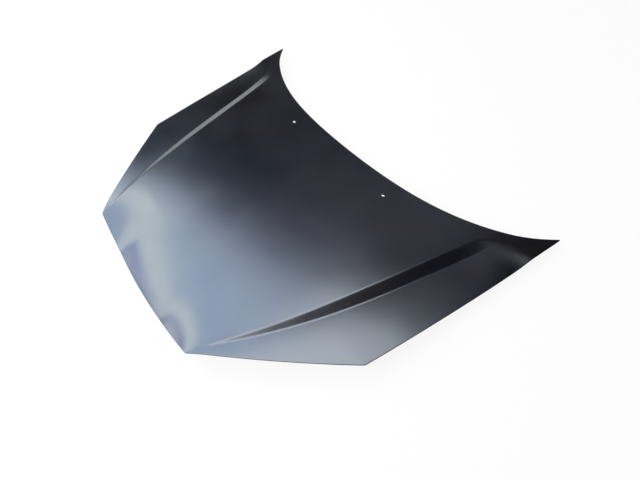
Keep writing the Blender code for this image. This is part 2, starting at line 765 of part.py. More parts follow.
def hinge_bolts(side):
    for label, shift in (("front", -0.5), ("rear", 0.5)):
        yield label, on_hinge_seat(side, [(0.0, shift * HINGE_BOLT_PITCH)])[0]


def swept_rod(name, path, diameter, material, sides=12):
    """A round rod bent along a path that lies in a plane of constant y."""
    path = np.asarray(path, float)
    rod = Solid()
    angle = np.arange(sides) * (2.0 * math.pi / sides)
    forward = np.array([0.0, 1.0, 0.0])
    tangents = np.gradient(path, axis=0)
    tangents[0] = path[1] - path[0]
    tangents[-1] = path[-1] - path[-2]
    rings = []
    for point, tangent in zip(path, tangents):
        tangent = tangent / np.linalg.norm(tangent)
        across = np.cross(tangent, forward)
        circle_points = point + diameter / 2.0 * (
            np.cos(angle)[:, None] * forward + np.sin(angle)[:, None] * across
        )
        rings.append(rod.add(circle_points))
    for first, second in zip(rings, rings[1:]):
        rod.strip(second, first)
    ends = rod.add([path[0], path[-1]])
    rod.fan(rings[0][::-1], ends[0])
    rod.fan(rings[-1], ends[1])
    return rod.make(name, material, math.radians(40))


def loop_path(top_z):
    """The striker's path: out along the plate, down, across, up and out again."""
    half = LOOP_WIDTH / 2.0
    bottom_z = top_z - LOOP_REACH
    bend = LOOP_BEND
    points = [(-half - bend - LOOP_FOOT, top_z)]

    def corner(centre, start):
        for turn in np.linspace(0.0, 1.0, 6):
            angle = start[0] + turn * (start[1] - start[0])
            points.append((centre[0] + bend * math.cos(angle), centre[1] + bend * math.sin(angle)))

    quarter = math.pi / 2.0
    corner((-half - bend, top_z - bend), (quarter, 0.0))
    corner((-half + bend, bottom_z + bend), (2.0 * quarter, 3.0 * quarter))
    corner((half - bend, bottom_z + bend), (-quarter, 0.0))
    corner((half + bend, top_z - bend), (2.0 * quarter, quarter))
    points.append((half + bend + LOOP_FOOT, top_z))
    return [(x, STRIKER_Y, z) for x, z in points]


def striker_plate_under():
    """Height of the striker plate's lower face, under the frame's front floor."""
    return FRONT_FLOOR_Z - FRAME_THICKNESS - GAP - STRIKER_PLATE[2]


def striker_rod_z():
    return striker_plate_under() - GAP - LOOP_ROD / 2.0


def make_striker(plate_material, rod_material):
    """The plate over the frame's floor, the plate under it and the loop that the latch catches."""
    centre = (0.0, STRIKER_Y)
    wide = rounded_rectangle(centre, STRIKER_REINFORCEMENT[:2], STRIKER_REINFORCEMENT_CORNER)
    above = FRONT_FLOOR_Z + GAP
    upper = prism(wide, centre, above, above + STRIKER_REINFORCEMENT[2])
    small = rounded_rectangle(centre, STRIKER_PLATE[:2], STRIKER_PLATE_CORNER)
    under = striker_plate_under()
    lower = prism(small, centre, under, under + STRIKER_PLATE[2])
    return [
        upper.make("striker_reinforcement", plate_material),
        lower.make("striker_plate", plate_material),
        swept_rod("striker_loop", loop_path(striker_rod_z()), LOOP_ROD, rod_material),
    ]


def make_dab(name, place, material):
    """A flattened dab of mastic between the skin and a flange of the frame."""
    place = np.array(place)
    normal = skin_normal(place[0], place[1])
    side = np.cross([0.0, 1.0, 0.0], normal)
    side /= np.linalg.norm(side)
    ahead = np.cross(normal, side)
    surface = np.array([place[0], place[1], float(skin_height(place[0], place[1]))])
    upper = SKIN_THICKNESS + GAP
    lower = SKIN_THICKNESS + MASTIC_GAP - GAP
    angle = np.arange(DAB_SIDES) * (2.0 * math.pi / DAB_SIDES)
    dab = Solid()
    rings = []
    for depth, share in ((upper, 0.86), ((upper + lower) / 2.0, 1.0), (lower, 0.90)):
        radius = DAB_DIAMETER / 2.0 * share
        around = radius * (np.cos(angle)[:, None] * side + np.sin(angle)[:, None] * ahead)
        rings.append(dab.add(surface - depth * normal + around))
    middle = dab.add([surface - upper * normal, surface - lower * normal])
    for first, second in zip(rings, rings[1:]):
        dab.strip(first, second)
    dab.fan(rings[0], middle[0])
    dab.fan(rings[-1][::-1], middle[1])
    return dab.make(name, material, math.radians(50))


def flange_middle(half, row, first, second, along=0.5):
    """The plan point halfway over a flange between two columns of the grid."""
    here = (half[row, first] + half[row, second]) / 2.0
    ahead = (half[row + 1, first] + half[row + 1, second]) / 2.0
    return here * (1.0 - along) + ahead * along


def dab_places(half):
    """Where the dabs sit: on the flanges beside the windows."""
    places = []
    for row in (6, 14):
        places.append(flange_middle(half, row, 3, 4))
        places.append(flange_middle(half, row, 7, 8))
        places.append(flange_middle(half, row, 11, 12))
    return places


def lay_on_floor(objects, striker_low):
    """Pitches the bonnet onto its striker and rear corners, and centres it."""
    bpy.context.view_layer.update()
    points = np.concatenate([[tuple(v.co) for v in made.data.vertices] for made in objects])
    behind = points[points[:, 1] > REAR_MIDDLE_Y / 2.0]
    rise = (behind[:, 2] - striker_low[1]) / (behind[:, 1] - striker_low[0])
    pitch = -math.atan(rise.min())
    turn = np.array([[math.cos(pitch), -math.sin(pitch)], [math.sin(pitch), math.cos(pitch)]])
    laid = points[:, 1:] @ turn.T
    middle = (laid[:, 0].min() + laid[:, 0].max()) / 2.0
    return Matrix.Translation((0.0, -middle, -laid[:, 1].min())) @ Matrix.Rotation(pitch, 4, "X")


def main():
    for old in list(bpy.data.objects):
        bpy.data.objects.remove(old, do_unlink=True)
    primer = paint("satin black primer", (0.022, 0.024, 0.030), 0.36, 0.0)
    under_primer = paint("black dip primer", (0.018, 0.019, 0.022), 0.48, 0.0)
    plate_primer = paint("primer on plates", (0.020, 0.021, 0.024), 0.52, 0.0)
    nut_plating = paint("zinc plated nut", (0.52, 0.52, 0.48), 0.38, 1.0)
    rod_plating = paint("zinc plated striker", (0.56, 0.56, 0.54), 0.32, 1.0)
    mastic = paint("grey mastic", (0.10, 0.10, 0.11), 0.70, 0.0)

    half, nose_shares, side_shares, rear_shares = half_grid()
    plan = whole_grid(half)
    shares = (nose_shares, side_shares, rear_shares)
    skin = make_outer_panel(plan, shares, primer)
    frame = make_inner_frame(plan, shares, under_primer)
    made = [skin, frame]

    plate_low = HINGE_SEAT_Z + GAP
    nut_seat = plate_low + HINGE_PLATE[2] + GAP
    cutters = []
    for side, label in ((1, "left"), (-1, "right")):
        plate = make_hinge_plate("hinge_plate_" + label, side, plate_low, plate_primer)
        made.append(plate)
        for end, centre in hinge_bolts(side):
            made.append(make_nut(f"hinge_nut_{label}_{end}", centre, nut_seat, nut_plating))
            hole = prism(circle(centre, HINGE_BOLT_HOLE), centre, HINGE_SEAT_Z - 0.01, nut_seat)
            bore = hole.make_cutter(f"cutter_hinge_{label}_{end}")
            cut(plate, bore)
            cut(frame, bore)
            cutters.append(bore)
        for name, outline, place in frame_openings(side):
            cutter = prism(outline, place, *FRAME_CUT_Z).make_cutter(f"cutter_{name}_{label}")
            cut(frame, cutter)
            cutters.append(cutter)
        nozzle = (side * NOZZLE[0], NOZZLE[1])
        key = prism(keyhole(nozzle), nozzle, *SKIN_CUT_Z).make_cutter("cutter_nozzle_" + label)
        cut(skin, key)
        cutters.append(key)

    made += make_striker(plate_primer, rod_plating)
    for number, place in enumerate(dab_places(half)):
        for side, label in ((1, "left"), (-1, "right")):
            made.append(make_dab(f"mastic_{label}_{number + 1}", (side * place[0], place[1]), mastic))

    laid = lay_on_floor(made, (STRIKER_Y, striker_rod_z() - LOOP_REACH - LOOP_ROD / 2.0))
    for item in made + cutters:
        item.matrix_world = laid
    print("pitch and shift", [tuple(round(v, 6) for v in row) for row in laid])


main()
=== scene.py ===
# %% [markdown]
# # A car bonnet with its skin, its stamped frame and its fittings
#
# A bonnet is two sheets. The outer one is the skin: a large, quiet surface that everyone
# sees. The inner one is a stamped frame of channels that keeps the skin from drumming. The
# skin's edge is folded back round the frame's edge, which is called a hem. This bonnet is a
# replacement part, so it wears only the satin black primer of its dip bath.
#
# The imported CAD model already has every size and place. It is loaded first and stays as it
# is. Each step below then works out a finer surface, or a finish, for one of its pieces.

import itertools
import json
import math

import bpy
import numpy as np
from mathutils import Matrix, Vector

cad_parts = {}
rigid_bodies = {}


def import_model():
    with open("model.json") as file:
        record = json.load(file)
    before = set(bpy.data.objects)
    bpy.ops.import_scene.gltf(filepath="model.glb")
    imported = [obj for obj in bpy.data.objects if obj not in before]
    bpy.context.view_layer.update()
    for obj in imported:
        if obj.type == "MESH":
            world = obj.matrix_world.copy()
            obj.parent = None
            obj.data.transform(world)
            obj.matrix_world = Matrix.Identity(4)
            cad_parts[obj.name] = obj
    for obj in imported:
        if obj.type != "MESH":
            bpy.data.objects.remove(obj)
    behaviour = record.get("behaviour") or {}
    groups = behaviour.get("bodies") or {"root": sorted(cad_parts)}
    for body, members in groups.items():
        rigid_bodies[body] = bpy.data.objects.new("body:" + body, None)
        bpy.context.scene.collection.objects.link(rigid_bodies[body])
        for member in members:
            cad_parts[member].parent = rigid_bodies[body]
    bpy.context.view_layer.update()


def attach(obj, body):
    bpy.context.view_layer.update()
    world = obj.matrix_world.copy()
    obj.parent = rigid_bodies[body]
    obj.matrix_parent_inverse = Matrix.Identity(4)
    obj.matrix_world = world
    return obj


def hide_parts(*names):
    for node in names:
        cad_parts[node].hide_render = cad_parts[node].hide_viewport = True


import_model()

# %% [markdown]
# ## The bonnet's own plane
#
# Car body surfaces are drawn in car lines, not in floor lines. Here x is across the car, y
# runs rearward from the line through the two front corners and z stands on the plane of
# the edges. The bonnet lies on the floor pitched by about four degrees, because the
# striker loop under its nose touches the floor before the frame does. One small function
# lays any points worked out in the bonnet's plane onto the floor.

# %% From the bonnet's plane to the floor
PITCH = math.radians(-4.0973)
LAID_SHIFT = np.array([0.0, -0.479411, 0.100338])
LAID_TURN = np.array(Matrix.Rotation(PITCH, 3, "X"))


def lay(points):
    """Turns points about the x axis by the pitch, then shifts them in y and z."""
    return np.asarray(points, float) @ LAID_TURN.T + LAID_SHIFT


def link(mesh, *materials):
    """An object at the origin for a mesh whose points are already in place."""
    for material in materials:
        mesh.materials.append(material)
    made = bpy.data.objects.new(mesh.name, mesh)
    bpy.context.collection.objects.link(made)
    return made


print("nose corner, in metres from the model's origin:", lay([0.32, 0.0, 0.0]).round(4))

# %% [markdown]
# ## The camera
#
# The picture was taken from the car's left side, high up, with the nose to the lower left.
# The camera can be found from the bonnet alone: lines that join matching points of its two
# halves are parallel on the real thing, so in the picture they meet in one vanishing point,
# which gives the direction of the x axis. A lens of 26.4 mm on a 36 mm sensor fits the rest.
# The camera is given here by its place, the point it looks at and a roll of ten degrees.

# %% Camera
CAMERA_AT = (1.01308, 0.08171, 1.08967)
LOOKS_AT = (0.2594, 0.4824, 0.0)
CAMERA_ROLL = math.radians(-10.48)
FOCAL_PIXELS, PICTURE_WIDTH, SENSOR_WIDTH = 470.0, 640, 36.0


def unit(vectors):
    """The same directions with a length of one."""
    vectors = np.asarray(vectors, float)
    return vectors / np.linalg.norm(vectors, axis=-1, keepdims=True)


back = unit(np.subtract(CAMERA_AT, LOOKS_AT))
level_right = unit(np.cross([0.0, 0.0, 1.0], back))
level_up = np.cross(back, level_right)
right = math.cos(CAMERA_ROLL) * level_right + math.sin(CAMERA_ROLL) * level_up
turn = LAID_TURN @ np.column_stack([right, np.cross(back, right), back])

lens = bpy.data.cameras.new("picture camera")
lens.sensor_width = SENSOR_WIDTH
lens.lens = SENSOR_WIDTH * FOCAL_PIXELS / PICTURE_WIDTH
lens.clip_start, lens.clip_end = 0.05, 60.0
camera = bpy.data.objects.new("picture camera", lens)
camera.matrix_world = Matrix.Translation(lay(CAMERA_AT)) @ Matrix(turn.tolist()).to_4x4()
bpy.context.collection.objects.link(camera)
bpy.context.scene.camera = camera
bpy.context.scene.view_settings.view_transform = "Standard"
print("camera at", lay(CAMERA_AT).round(3), "lens", round(lens.lens, 2), "mm")

# %% [markdown]
# ## Shader arithmetic
#
# A finish is a small calculation made at every point of a surface. Here a thin class
# stands for one socket and lets Python's own operators add the Math nodes, so that a
# formula in the code reads like one. Every other node comes from one method: it takes the
# node's type, its settings, and the values or links of its sockets.

# %% A socket that takes part in arithmetic
class Wire:
    """One output socket; each operator adds the Math node that works it out."""

    def __init__(self, tree, socket):
        self.tree = tree
        self.socket = socket

    def math(self, operation, *values, clamp=False):
        node = self.tree.nodes.new("ShaderNodeMath")
        node.operation = operation
        node.use_clamp = clamp
        for slot, value in zip(node.inputs, values):
            if isinstance(value, Wire):
                self.tree.links.new(value.socket, slot)
            else:
                slot.default_value = value
        return Wire(self.tree, node.outputs[0])

    def __add__(self, other):
        return self.math("ADD", self, other)

    def __radd__(self, other):
        return self.math("ADD", other, self)

    def __mul__(self, other):
        return self.math("MULTIPLY", self, other)

    def clamped(self):
        return self.math("ADD", self, 0.0, clamp=True)


class Finish:
    """A material under construction: its node tree, its shader and the place on the piece."""

    def __init__(self, name, **fixed):
        self.material = bpy.data.materials.new(name)
        self.material.use_nodes = True
        self.tree = self.material.node_tree
        self.shader = self.tree.nodes["Principled BSDF"]
        for socket, value in fixed.items():
            self.shader.inputs[socket.replace("_", " ")].default_value = value
        self.place = self.add("ShaderNodeTexCoord", {}, {}, "Object")

    def add(self, kind, settings, sockets, output=0):
        """One node with its settings, and a value or a link for each socket named."""
        node = self.tree.nodes.new(kind)
        for key, value in settings.items():
            setattr(node, key, value)
        for key, value in sockets.items():
            if isinstance(value, Wire):
                self.tree.links.new(value.socket, node.inputs[key])
            else:
                node.inputs[key].default_value = value
        return Wire(self.tree, node.outputs[output])

    def noise(self, scale, detail, place=None):
        """Cloudy noise from about 0.3 to 0.7, with this many lumps to the metre."""
        sockets = {"Vector": place or self.place, "Scale": scale, "Detail": detail}
        return self.add("ShaderNodeTexNoise", {}, sockets)

    def spread(self, value, low, high):
        """0 where the value is under low, 1 where it is over high, and a smooth rise between."""
        sockets = {"Value": value, "From Min": low, "From Max": high}
        return self.add("ShaderNodeMapRange", {"interpolation_type": "SMOOTHSTEP"}, sockets)

    def clouds(self, scale, detail, low, high, place=None):
        """Noise spread out, so that much of it is plain 0 or 1."""
        return self.spread(self.noise(scale, detail, place), low, high)

    def blend(self, factor, first, second):
        """The first colour where the factor is 0, the second where it is 1."""
        sockets = {0: factor, 6: self.solid(first), 7: self.solid(second)}
        return self.add("ShaderNodeMix", {"data_type": "RGBA"}, sockets, 2)

    @staticmethod
    def solid(colour):
        return colour if isinstance(colour, Wire) else (*colour, 1.0)

    def feed(self, **links):
        """Links wires to the shader's sockets, named with _ for a space."""
        for socket, wire in links.items():
            self.tree.links.new(wire.socket, self.shader.inputs[socket.replace("_", " ")])

    def stretched(self, *scale):
        """The place on the piece, scaled along each axis."""
        return self.add("ShaderNodeMapping", {}, {"Vector": self.place, "Scale": scale})

    def bump(self, height, distance):
        """Lets a height between 0 and 1 tilt the light on the surface, as if it were this deep."""
        self.feed(Normal=self.add("ShaderNodeBump", {}, {"Height": height, "Distance": distance}))


print("shader arithmetic ready")

# %% [markdown]
# ## Floor, wall and lamps
#
# Dark satin paint has little colour of its own. What one sees on it is the room: a bright
# front half where it mirrors the lamps, and a dark rear half where it mirrors the unlit
# ceiling. The lamps are one row of level soft panels over the front of the bonnet, turned
# by ten degrees. Their strength falls off rearward in three steps, which gives the
# picture's soft change from grey to black. One upright panel low in the front left corner
# lights the curl of the nose. The floor is pale and keeps the shadow. High on the wall, what
# cameras and mirrors see fades to near black: painted shade of the unlit upper wall.

# %% Stage
FLOOR_COLOUR, SEEN_AS_WHITE = (0.96, 0.96, 0.96), 0.91
WALL_PAINTED_SHADE_HEIGHTS, WALL_TOP_PAINTED_SHADE = (1.8, 2.8), (0.06, 0.06, 0.065)
FLAT_RADIUS, COVE_RADIUS, WALL_HEIGHT = 6.0, 1.2, 3.4


def stage_finish(name):
    """A matt pale surface; cameras and mirrors see most of it as plain white, with painted shade
    high up.
    """
    made = Finish(name)
    tree = made.tree
    tree.nodes.remove(made.shader)
    path = tree.nodes.new("ShaderNodeLightPath")
    seen = Wire(tree, path.outputs["Is Camera Ray"]) + Wire(tree, path.outputs["Is Glossy Ray"])
    seen = (seen + Wire(tree, path.outputs["Is Transmission Ray"])).clamped() * SEEN_AS_WHITE
    cloud = made.clouds(0.8, 2.0, 0.3, 0.7)
    tone = made.blend(cloud, FLOOR_COLOUR, tuple(0.985 * c for c in FLOOR_COLOUR))
    matt = made.add("ShaderNodeBsdfDiffuse", {}, {"Color": tone})
    height = made.add("ShaderNodeSeparateXYZ", {}, {"Vector": made.place}, 2)
    # painted shade: what cameras and mirrors see of the wall fades from white to near black between
    # 1.8 and 2.8 m up
    pale = made.blend(made.spread(height, *WALL_PAINTED_SHADE_HEIGHTS), (1.0, 1.0, 1.0), WALL_TOP_PAINTED_SHADE)
    white = made.add("ShaderNodeEmission", {}, {"Color": pale, "Strength": 1.0})
    mixed = made.add("ShaderNodeMixShader", {}, {0: seen, 1: matt, 2: white})
    tree.links.new(mixed.socket, tree.nodes["Material Output"].inputs["Surface"])
    return made.material


def numbered(rows, columns):
    """The numbers of a grid's points, row by row."""
    return np.arange(rows * columns).reshape(rows, columns)


def turned_sheet(name, profile, steps, material):
    """A profile of (radius, height) points carried once round the z axis."""
    angle = np.arange(steps) * (2.0 * math.pi / steps)
    radius, height = np.asarray(profile, float).T[..., None]
    points = np.stack([radius * np.cos(angle), radius * np.sin(angle), height + 0.0 * angle], -1)
    index = numbered(len(profile), steps)
    inner, outer = index[:-1], index[1:]
    quads = np.stack([inner, outer, np.roll(outer, -1, 1), np.roll(inner, -1, 1)], -1)
    mesh = bpy.data.meshes.new(name)
    mesh.from_pydata(points.reshape(-1, 3).tolist(), [], quads.reshape(-1, 4).tolist())
    mesh.shade_smooth()
    return link(mesh, material)


cove = [(FLAT_RADIUS + COVE_RADIUS * math.sin(a), COVE_RADIUS - COVE_RADIUS * math.cos(a))
        for a in np.linspace(0.0, math.pi / 2.0, 9)]
wall = cove + [(FLAT_RADIUS + COVE_RADIUS, WALL_HEIGHT)]
flat_part = [(0.001, 0.0), (2.0, 0.0)]
floor = turned_sheet("pale_floor", flat_part + wall, 96, stage_finish("pale floor"))
print("floor and wall in one sheet,", 2.0 * (FLAT_RADIUS + COVE_RADIUS), "m across")

# %% Lamps
LAMP_YAW = math.radians(10.0)
LAMP_ORIGIN = (-1.45, 0.62, 2.4)
CORNER_LAMP_AT, CORNER_LAMP_AIM = Vector((-5.6, -2.9, 1.2)), Vector((5.87, 2.44, -1.11))
ROOM_COLOUR = (0.022, 0.022, 0.026, 1.0)
LAMP_ROW = (
    ("far left lamp", (-4.6, -3.2), (-6.0, -0.37), 2.4, (0.48, 0.56, 1.0)),
    ("left lamp", (-3.2, -1.2), (-6.0, -0.37), 3.9, (1.0, 0.98, 0.89)),
    ("front lamp", (-1.2, 0.75), (-6.0, -0.37), 3.0, (0.83, 0.88, 1.0)),
    ("left lamp edge", (-3.2, -1.2), (-0.37, -0.10), 2.5, (0.88, 0.90, 1.0)),
    ("front lamp edge", (-1.2, 0.75), (-0.37, -0.10), 1.9, (0.85, 0.85, 1.0)),
    ("left lamp rim", (-2.35, -1.2), (-0.10, 0.28), 0.50, (0.85, 0.90, 1.0)),
    ("front lamp rim", (-1.2, 0.75), (-0.10, 0.28), 0.42, (0.90, 0.88, 1.0)),
    ("left fall-off", (-2.10, -0.60), (0.28, 0.85), 0.14, (0.85, 0.90, 1.0)),
    ("front fall-off", (-0.60, 0.75), (0.28, 0.95), 0.34, (1.0, 0.82, 0.90)),
    ("side lamp", (0.75, 1.80), (-6.0, 0.05), 4.0, (1.0, 0.92, 0.87)),
    ("side lamp edge", (0.75, 1.80), (0.05, 0.50), 0.36, (1.0, 0.90, 0.92)),
    ("side fall-off", (0.75, 1.80), (0.50, 0.95), 0.16, (1.0, 0.90, 0.92)),
    ("rear fill", (-0.2, 1.2), (0.95, 2.4), 0.25, (1.0, 0.84, 0.86)),
    ("rear left fill", (-1.7, -0.2), (0.95, 2.6), 0.12, (0.95, 0.92, 1.0)),
)


def lamp(name, size, radiance, colour, place):
    """A soft rectangle of light. Its power is its radiance times its area times pi."""
    light = bpy.data.lights.new(name, "AREA")
    light.shape = "RECTANGLE"
    light.size, light.size_y = size
    light.energy = radiance * size[0] * size[1] * math.pi
    light.color = colour
    made = bpy.data.objects.new(name, light)
    made.matrix_world = place
    made.visible_camera = False
    bpy.context.collection.objects.link(made)


row_place = Matrix.Translation(LAMP_ORIGIN) @ Matrix.Rotation(LAMP_YAW, 4, "Z")
for name, along, rearward, radiance, colour in LAMP_ROW:
    middle = Vector((sum(along) / 2.0, sum(rearward) / 2.0, 0.0))
    size = along[1] - along[0], rearward[1] - rearward[0]
    lamp(name, size, radiance, colour, row_place @ Matrix.Translation(middle))
corner_place = Matrix.LocRotScale(CORNER_LAMP_AT, CORNER_LAMP_AIM.to_track_quat("-Z", "Y"), None)
lamp("corner lamp", (4.4, 2.2), 1.5, (1.0, 0.92, 0.92), corner_place)

world = bpy.data.worlds.new("dim room")
world.use_nodes = True
world.node_tree.nodes["Background"].inputs["Color"].default_value = ROOM_COLOUR
bpy.context.scene.world = world
print("lamps:", len(LAMP_ROW), "in the row and one in the corner")

# %% [markdown]
# ## The outline of the panel
#
# The bonnet's outline has three runs on each side: the nose, the edge over the lamp and
# the long edge over the wing, and then the rear edge, which sweeps back to a sharp tip
# beside the windscreen. Each run is a formula in one number, so the same run can be drawn
# again a few millimetres further in. The pressed corners are round, so where two runs meet
# a short parabola takes the place of the corner.

# %% Outline runs
NOSE_BULGE, NOSE_CORNER_X = 0.022, 0.320
FRONT_CORNER, REAR_TIP = (0.636, 0.342), (0.700, 0.988)
REAR_MIDDLE_Y, REAR_SQUARE, REAR_FOURTH, REAR_TIP_FROM_X = 0.790, 0.15, 0.45, 0.600
LAMP_EDGE_BULGE, SIDE_EDGE_BULGE = 0.006, 0.005
CORNER_ROUND, SMALLEST_ROUND = {"nose": 0.014, "front": 0.012, "tip": 0.0030}, 0.0012
RUN_STEPS, FLANGE = 260, 0.014


def smooth(low, high, value):
    """A smooth rise from 0 at low to 1 at high: 3t squared minus 2t cubed."""
    share = np.clip((value - low) / (high - low), 0.0, 1.0)
    return share * share * (3.0 - 2.0 * share)


def nose_edge_y(x):
    """A parabola that bulges forward in the middle and passes through the nose corners."""
    return -NOSE_BULGE * (1.0 - (x / NOSE_CORNER_X) ** 2)


def rear_edge_y(x):
    """A square term and a fourth power term, with a further square rise near the tip."""
    x = np.abs(x)
    before, at_tip = (REAR_MIDDLE_Y + REAR_SQUARE * a**2 + REAR_FOURTH * a**4
                      for a in (x, REAR_TIP[0]))
    near_tip = np.clip((x - REAR_TIP_FROM_X) / (REAR_TIP[0] - REAR_TIP_FROM_X), 0.0, None)
    return before + (REAR_TIP[1] - at_tip) * near_tip**2


def bowed_edge(start, end, bulge, t):
    """The straight line from start to end, pushed out sideways by a parabola of height bulge."""
    start, end = np.array(start), np.array(end)
    along = end - start
    outward = np.array([along[1], -along[0]]) / np.hypot(*along)
    t = np.asarray(t, float)[..., None]
    return start + along * t + outward * bulge * 4.0 * t * (1.0 - t)


def edge_runs(inset):
    """The nose, lamp, side and rear edges as dense lines of points, moved inward by inset."""
    t = np.linspace(-0.03, 1.03, RUN_STEPS)
    nose_x = NOSE_CORNER_X * np.linspace(0.0, 1.06, RUN_STEPS)
    rear_x = REAR_TIP[0] * np.linspace(1.02, 0.0, RUN_STEPS)
    runs = [
        np.stack([nose_x, nose_edge_y(nose_x)], -1),
        bowed_edge((NOSE_CORNER_X, 0.0), FRONT_CORNER, LAMP_EDGE_BULGE, t),
        bowed_edge(FRONT_CORNER, REAR_TIP, SIDE_EDGE_BULGE, t),
        np.stack([rear_x, rear_edge_y(rear_x)], -1),
    ]
    moved = []
    for run in runs:
        along = np.gradient(run, axis=0)
        moved.append(run + inset * unit(np.stack([-along[:, 1], along[:, 0]], -1)))
    return moved


def cross_2d(a, b):
    return a[..., 0] * b[..., 1] - a[..., 1] * b[..., 0]


def crossing(first, second):
    """The point where two lines of points cross, and the step of each line that holds it."""
    a, c = first[:-1, None], second[None, :-1]
    r, s = first[1:, None] - a, second[None, 1:] - c
    turn = cross_2d(r, s)
    t, u = cross_2d(c - a, s) / turn, cross_2d(c - a, r) / turn
    i, j = np.argwhere((t >= 0) & (t < 1) & (u >= 0) & (u < 1))[0]
    return first[i] + t[i, j] * (first[i + 1] - first[i]), i, j


def lengths(run):
    """The distance along a line of points at each of its points."""
    return np.concatenate([[0.0], np.cumsum(np.linalg.norm(np.diff(run, axis=0), axis=1))])


def points_at(run, measure, wanted):
    """Points of a line where a measure that rises along it has the wanted values."""
    return np.stack([np.interp(wanted, measure, run[:, k]) for k in (0, 1)], -1)


def rounded_join(first, second, radius):
    """Ends two lines at their crossing and rounds the corner, cutting the round in its middle."""
    corner, i, j = crossing(first, second)
    first = np.concatenate([first[: i + 1], [corner]])
    second = np.concatenate([[corner], second[j + 1 :]])
    a, b = unit(corner - first[-2]), unit(second[1] - corner)
    reach = radius * math.tan(math.acos(np.clip(a @ b, -1.0, 1.0)) / 2.0)
    left = lengths(first)[-1] - lengths(first)
    gone = lengths(second)
    start, end = points_at(first[::-1], left[::-1], reach), points_at(second, gone, reach)
    t = np.linspace(0.0, 1.0, 17)[:, None]
    arc = (1.0 - t) ** 2 * start + 2.0 * t * (1.0 - t) * corner + t**2 * end
    before, after = [first[left > reach], arc[:9]], [arc[8:], second[gone > reach]]
    return np.concatenate(before), np.concatenate(after)


def half_outline(inset):
    """The right half of the outline as three lines, nose, outer side and rear.

    The fourth value is the place of the side's corner, as a share of the side's length.
    """
    nose, lamp, side, rear = edge_runs(inset)
    round_of = {name: max(size - inset, SMALLEST_ROUND) for name, size in CORNER_ROUND.items()}
    nose, lamp = rounded_join(nose, lamp, round_of["nose"])
    lamp, side = rounded_join(lamp, side, round_of["front"])
    side, rear = rounded_join(side, rear, round_of["tip"])
    outer = np.concatenate([lamp, side[1:]])
    return nose, outer, rear, lengths(lamp)[-1] / lengths(outer)[-1]


def resampled(run, shares):
    """Points of a line at the given shares of its length."""
    length = lengths(run)
    return points_at(run, length, np.asarray(shares) * length[-1])


def on_line(line, x):
    """Points of the nose or the rear at these distances from the middle."""
    return np.stack([x, np.interp(x, line[:, 0], line[:, 1])], -1)


def bent(shares, knee, moved):
    """Shares from 0 to 1, stretched on both sides so that the knee comes to another place."""
    return np.interp(shares, [0.0, knee, 1.0], [0.0, moved, 1.0])


for inset in (0.0, FLANGE):
    sizes = [round(float(lengths(run)[-1]), 3) for run in half_outline(inset)[:3]]
    print("set in", inset, "m: nose, outer side and rear", sizes)

# %% [markdown]
# ## The relief of the skin
#
# Only a few formulas make the shape. The middle panel is crowned by ten millimetres and
# its nose curls down. Two ridges run from the nose corners to the rear, and outside each
# one the skin steps down by a face that widens as it goes back. Beyond the step a gently
# arched shoulder falls away to the edge, and it levels out again near the rear tip. A
# pressed ridge is never sharp. A ramp whose slope turns evenly over a few millimetres gives
# it a round top, and that round top is what catches the light as a thin line.

# %% Relief
RIDGE = (0.3132, 0.4854, -0.4492, 0.2638)
RIDGE_HOOK, HOOK_FROM_Y, HOOK_LENGTH = 0.030, 0.806, 0.056
CENTRE_BULGE, REAR_SAG = 0.010, 0.003
NOSE_DROP, NOSE_DROP_LENGTH, NOSE_DROP_X = 0.056, 0.175, (0.140, 0.370)
STEP_WIDTH, STEP_SLOPE = 0.0370, 0.32
STEP_GROWS_Y, STEP_FADES_Y = (0.020, 0.580), (0.700, 0.900)
EDGE_FALL, EDGE_FALLS_Y, SHOULDER_ARCH = 0.014, (-0.080, 0.420), 0.030
LEVELS_OUT_Y, LEVELS_OUT_ACROSS = (0.50, 0.70), (0.02, 0.13)
RIDGE_ROUND, FOOT_ROUND, NARROWEST_SHOULDER = 0.0034, 0.0034, 0.004


def ridge_cubic(y):
    """The ridge's distance from the middle, in four terms."""
    return RIDGE[0] + RIDGE[1] * y + RIDGE[2] * y**2 + RIDGE[3] * y**3


def ridge_x(y):
    """A cubic in y, which hooks outward at its rear end."""
    return ridge_cubic(y) + RIDGE_HOOK * np.clip((y - HOOK_FROM_Y) / HOOK_LENGTH, 0.0, 1.3) ** 2


def step_width(y):
    """A quarter wave: nothing near the nose, the full width at two thirds of the way back."""
    start, end = STEP_GROWS_Y
    return STEP_WIDTH * np.sin(math.pi / 2.0 * np.clip((y - start) / (end - start), 0.0, 1.0))


eighty = np.linspace(0.0, 1.0, 80)
SHARP_SIDE = np.concatenate([
    bowed_edge((NOSE_CORNER_X, 0.0), FRONT_CORNER, LAMP_EDGE_BULGE, eighty),
    bowed_edge(FRONT_CORNER, REAR_TIP, SIDE_EDGE_BULGE, eighty)[1:],
])


def outline_x(y):
    """Half the width of the outline at y."""
    return np.interp(y, SHARP_SIDE[:, 1], SHARP_SIDE[:, 0])


def nose_fall(x, y):
    """A square curl that starts a hand's width behind the nose and fades toward its corners."""
    depth = NOSE_DROP * (1.0 - smooth(*NOSE_DROP_X, x))
    return depth * np.clip(1.0 - (y - nose_edge_y(x)) / NOSE_DROP_LENGTH, 0.0, None) ** 2


def middle_height(x, y):
    """Half a sine wave from nose to rear times a parabola across, less the curl of the nose."""
    share = np.clip(y / REAR_MIDDLE_Y, 0.0, 1.0)
    bulge = CENTRE_BULGE * np.sin(math.pi * share) - REAR_SAG * share**2
    across = np.clip(x / ridge_x(y), 0.0, 1.0)
    return bulge * (1.0 - across**2) - nose_fall(x, y)


def ramp(distance, radius):
    """0 before minus the radius, the distance after the radius, and a parabola between them."""
    near = np.clip(distance, -radius, radius)
    return (near + radius) ** 2 / (4.0 * radius) + np.maximum(distance - radius, 0.0)


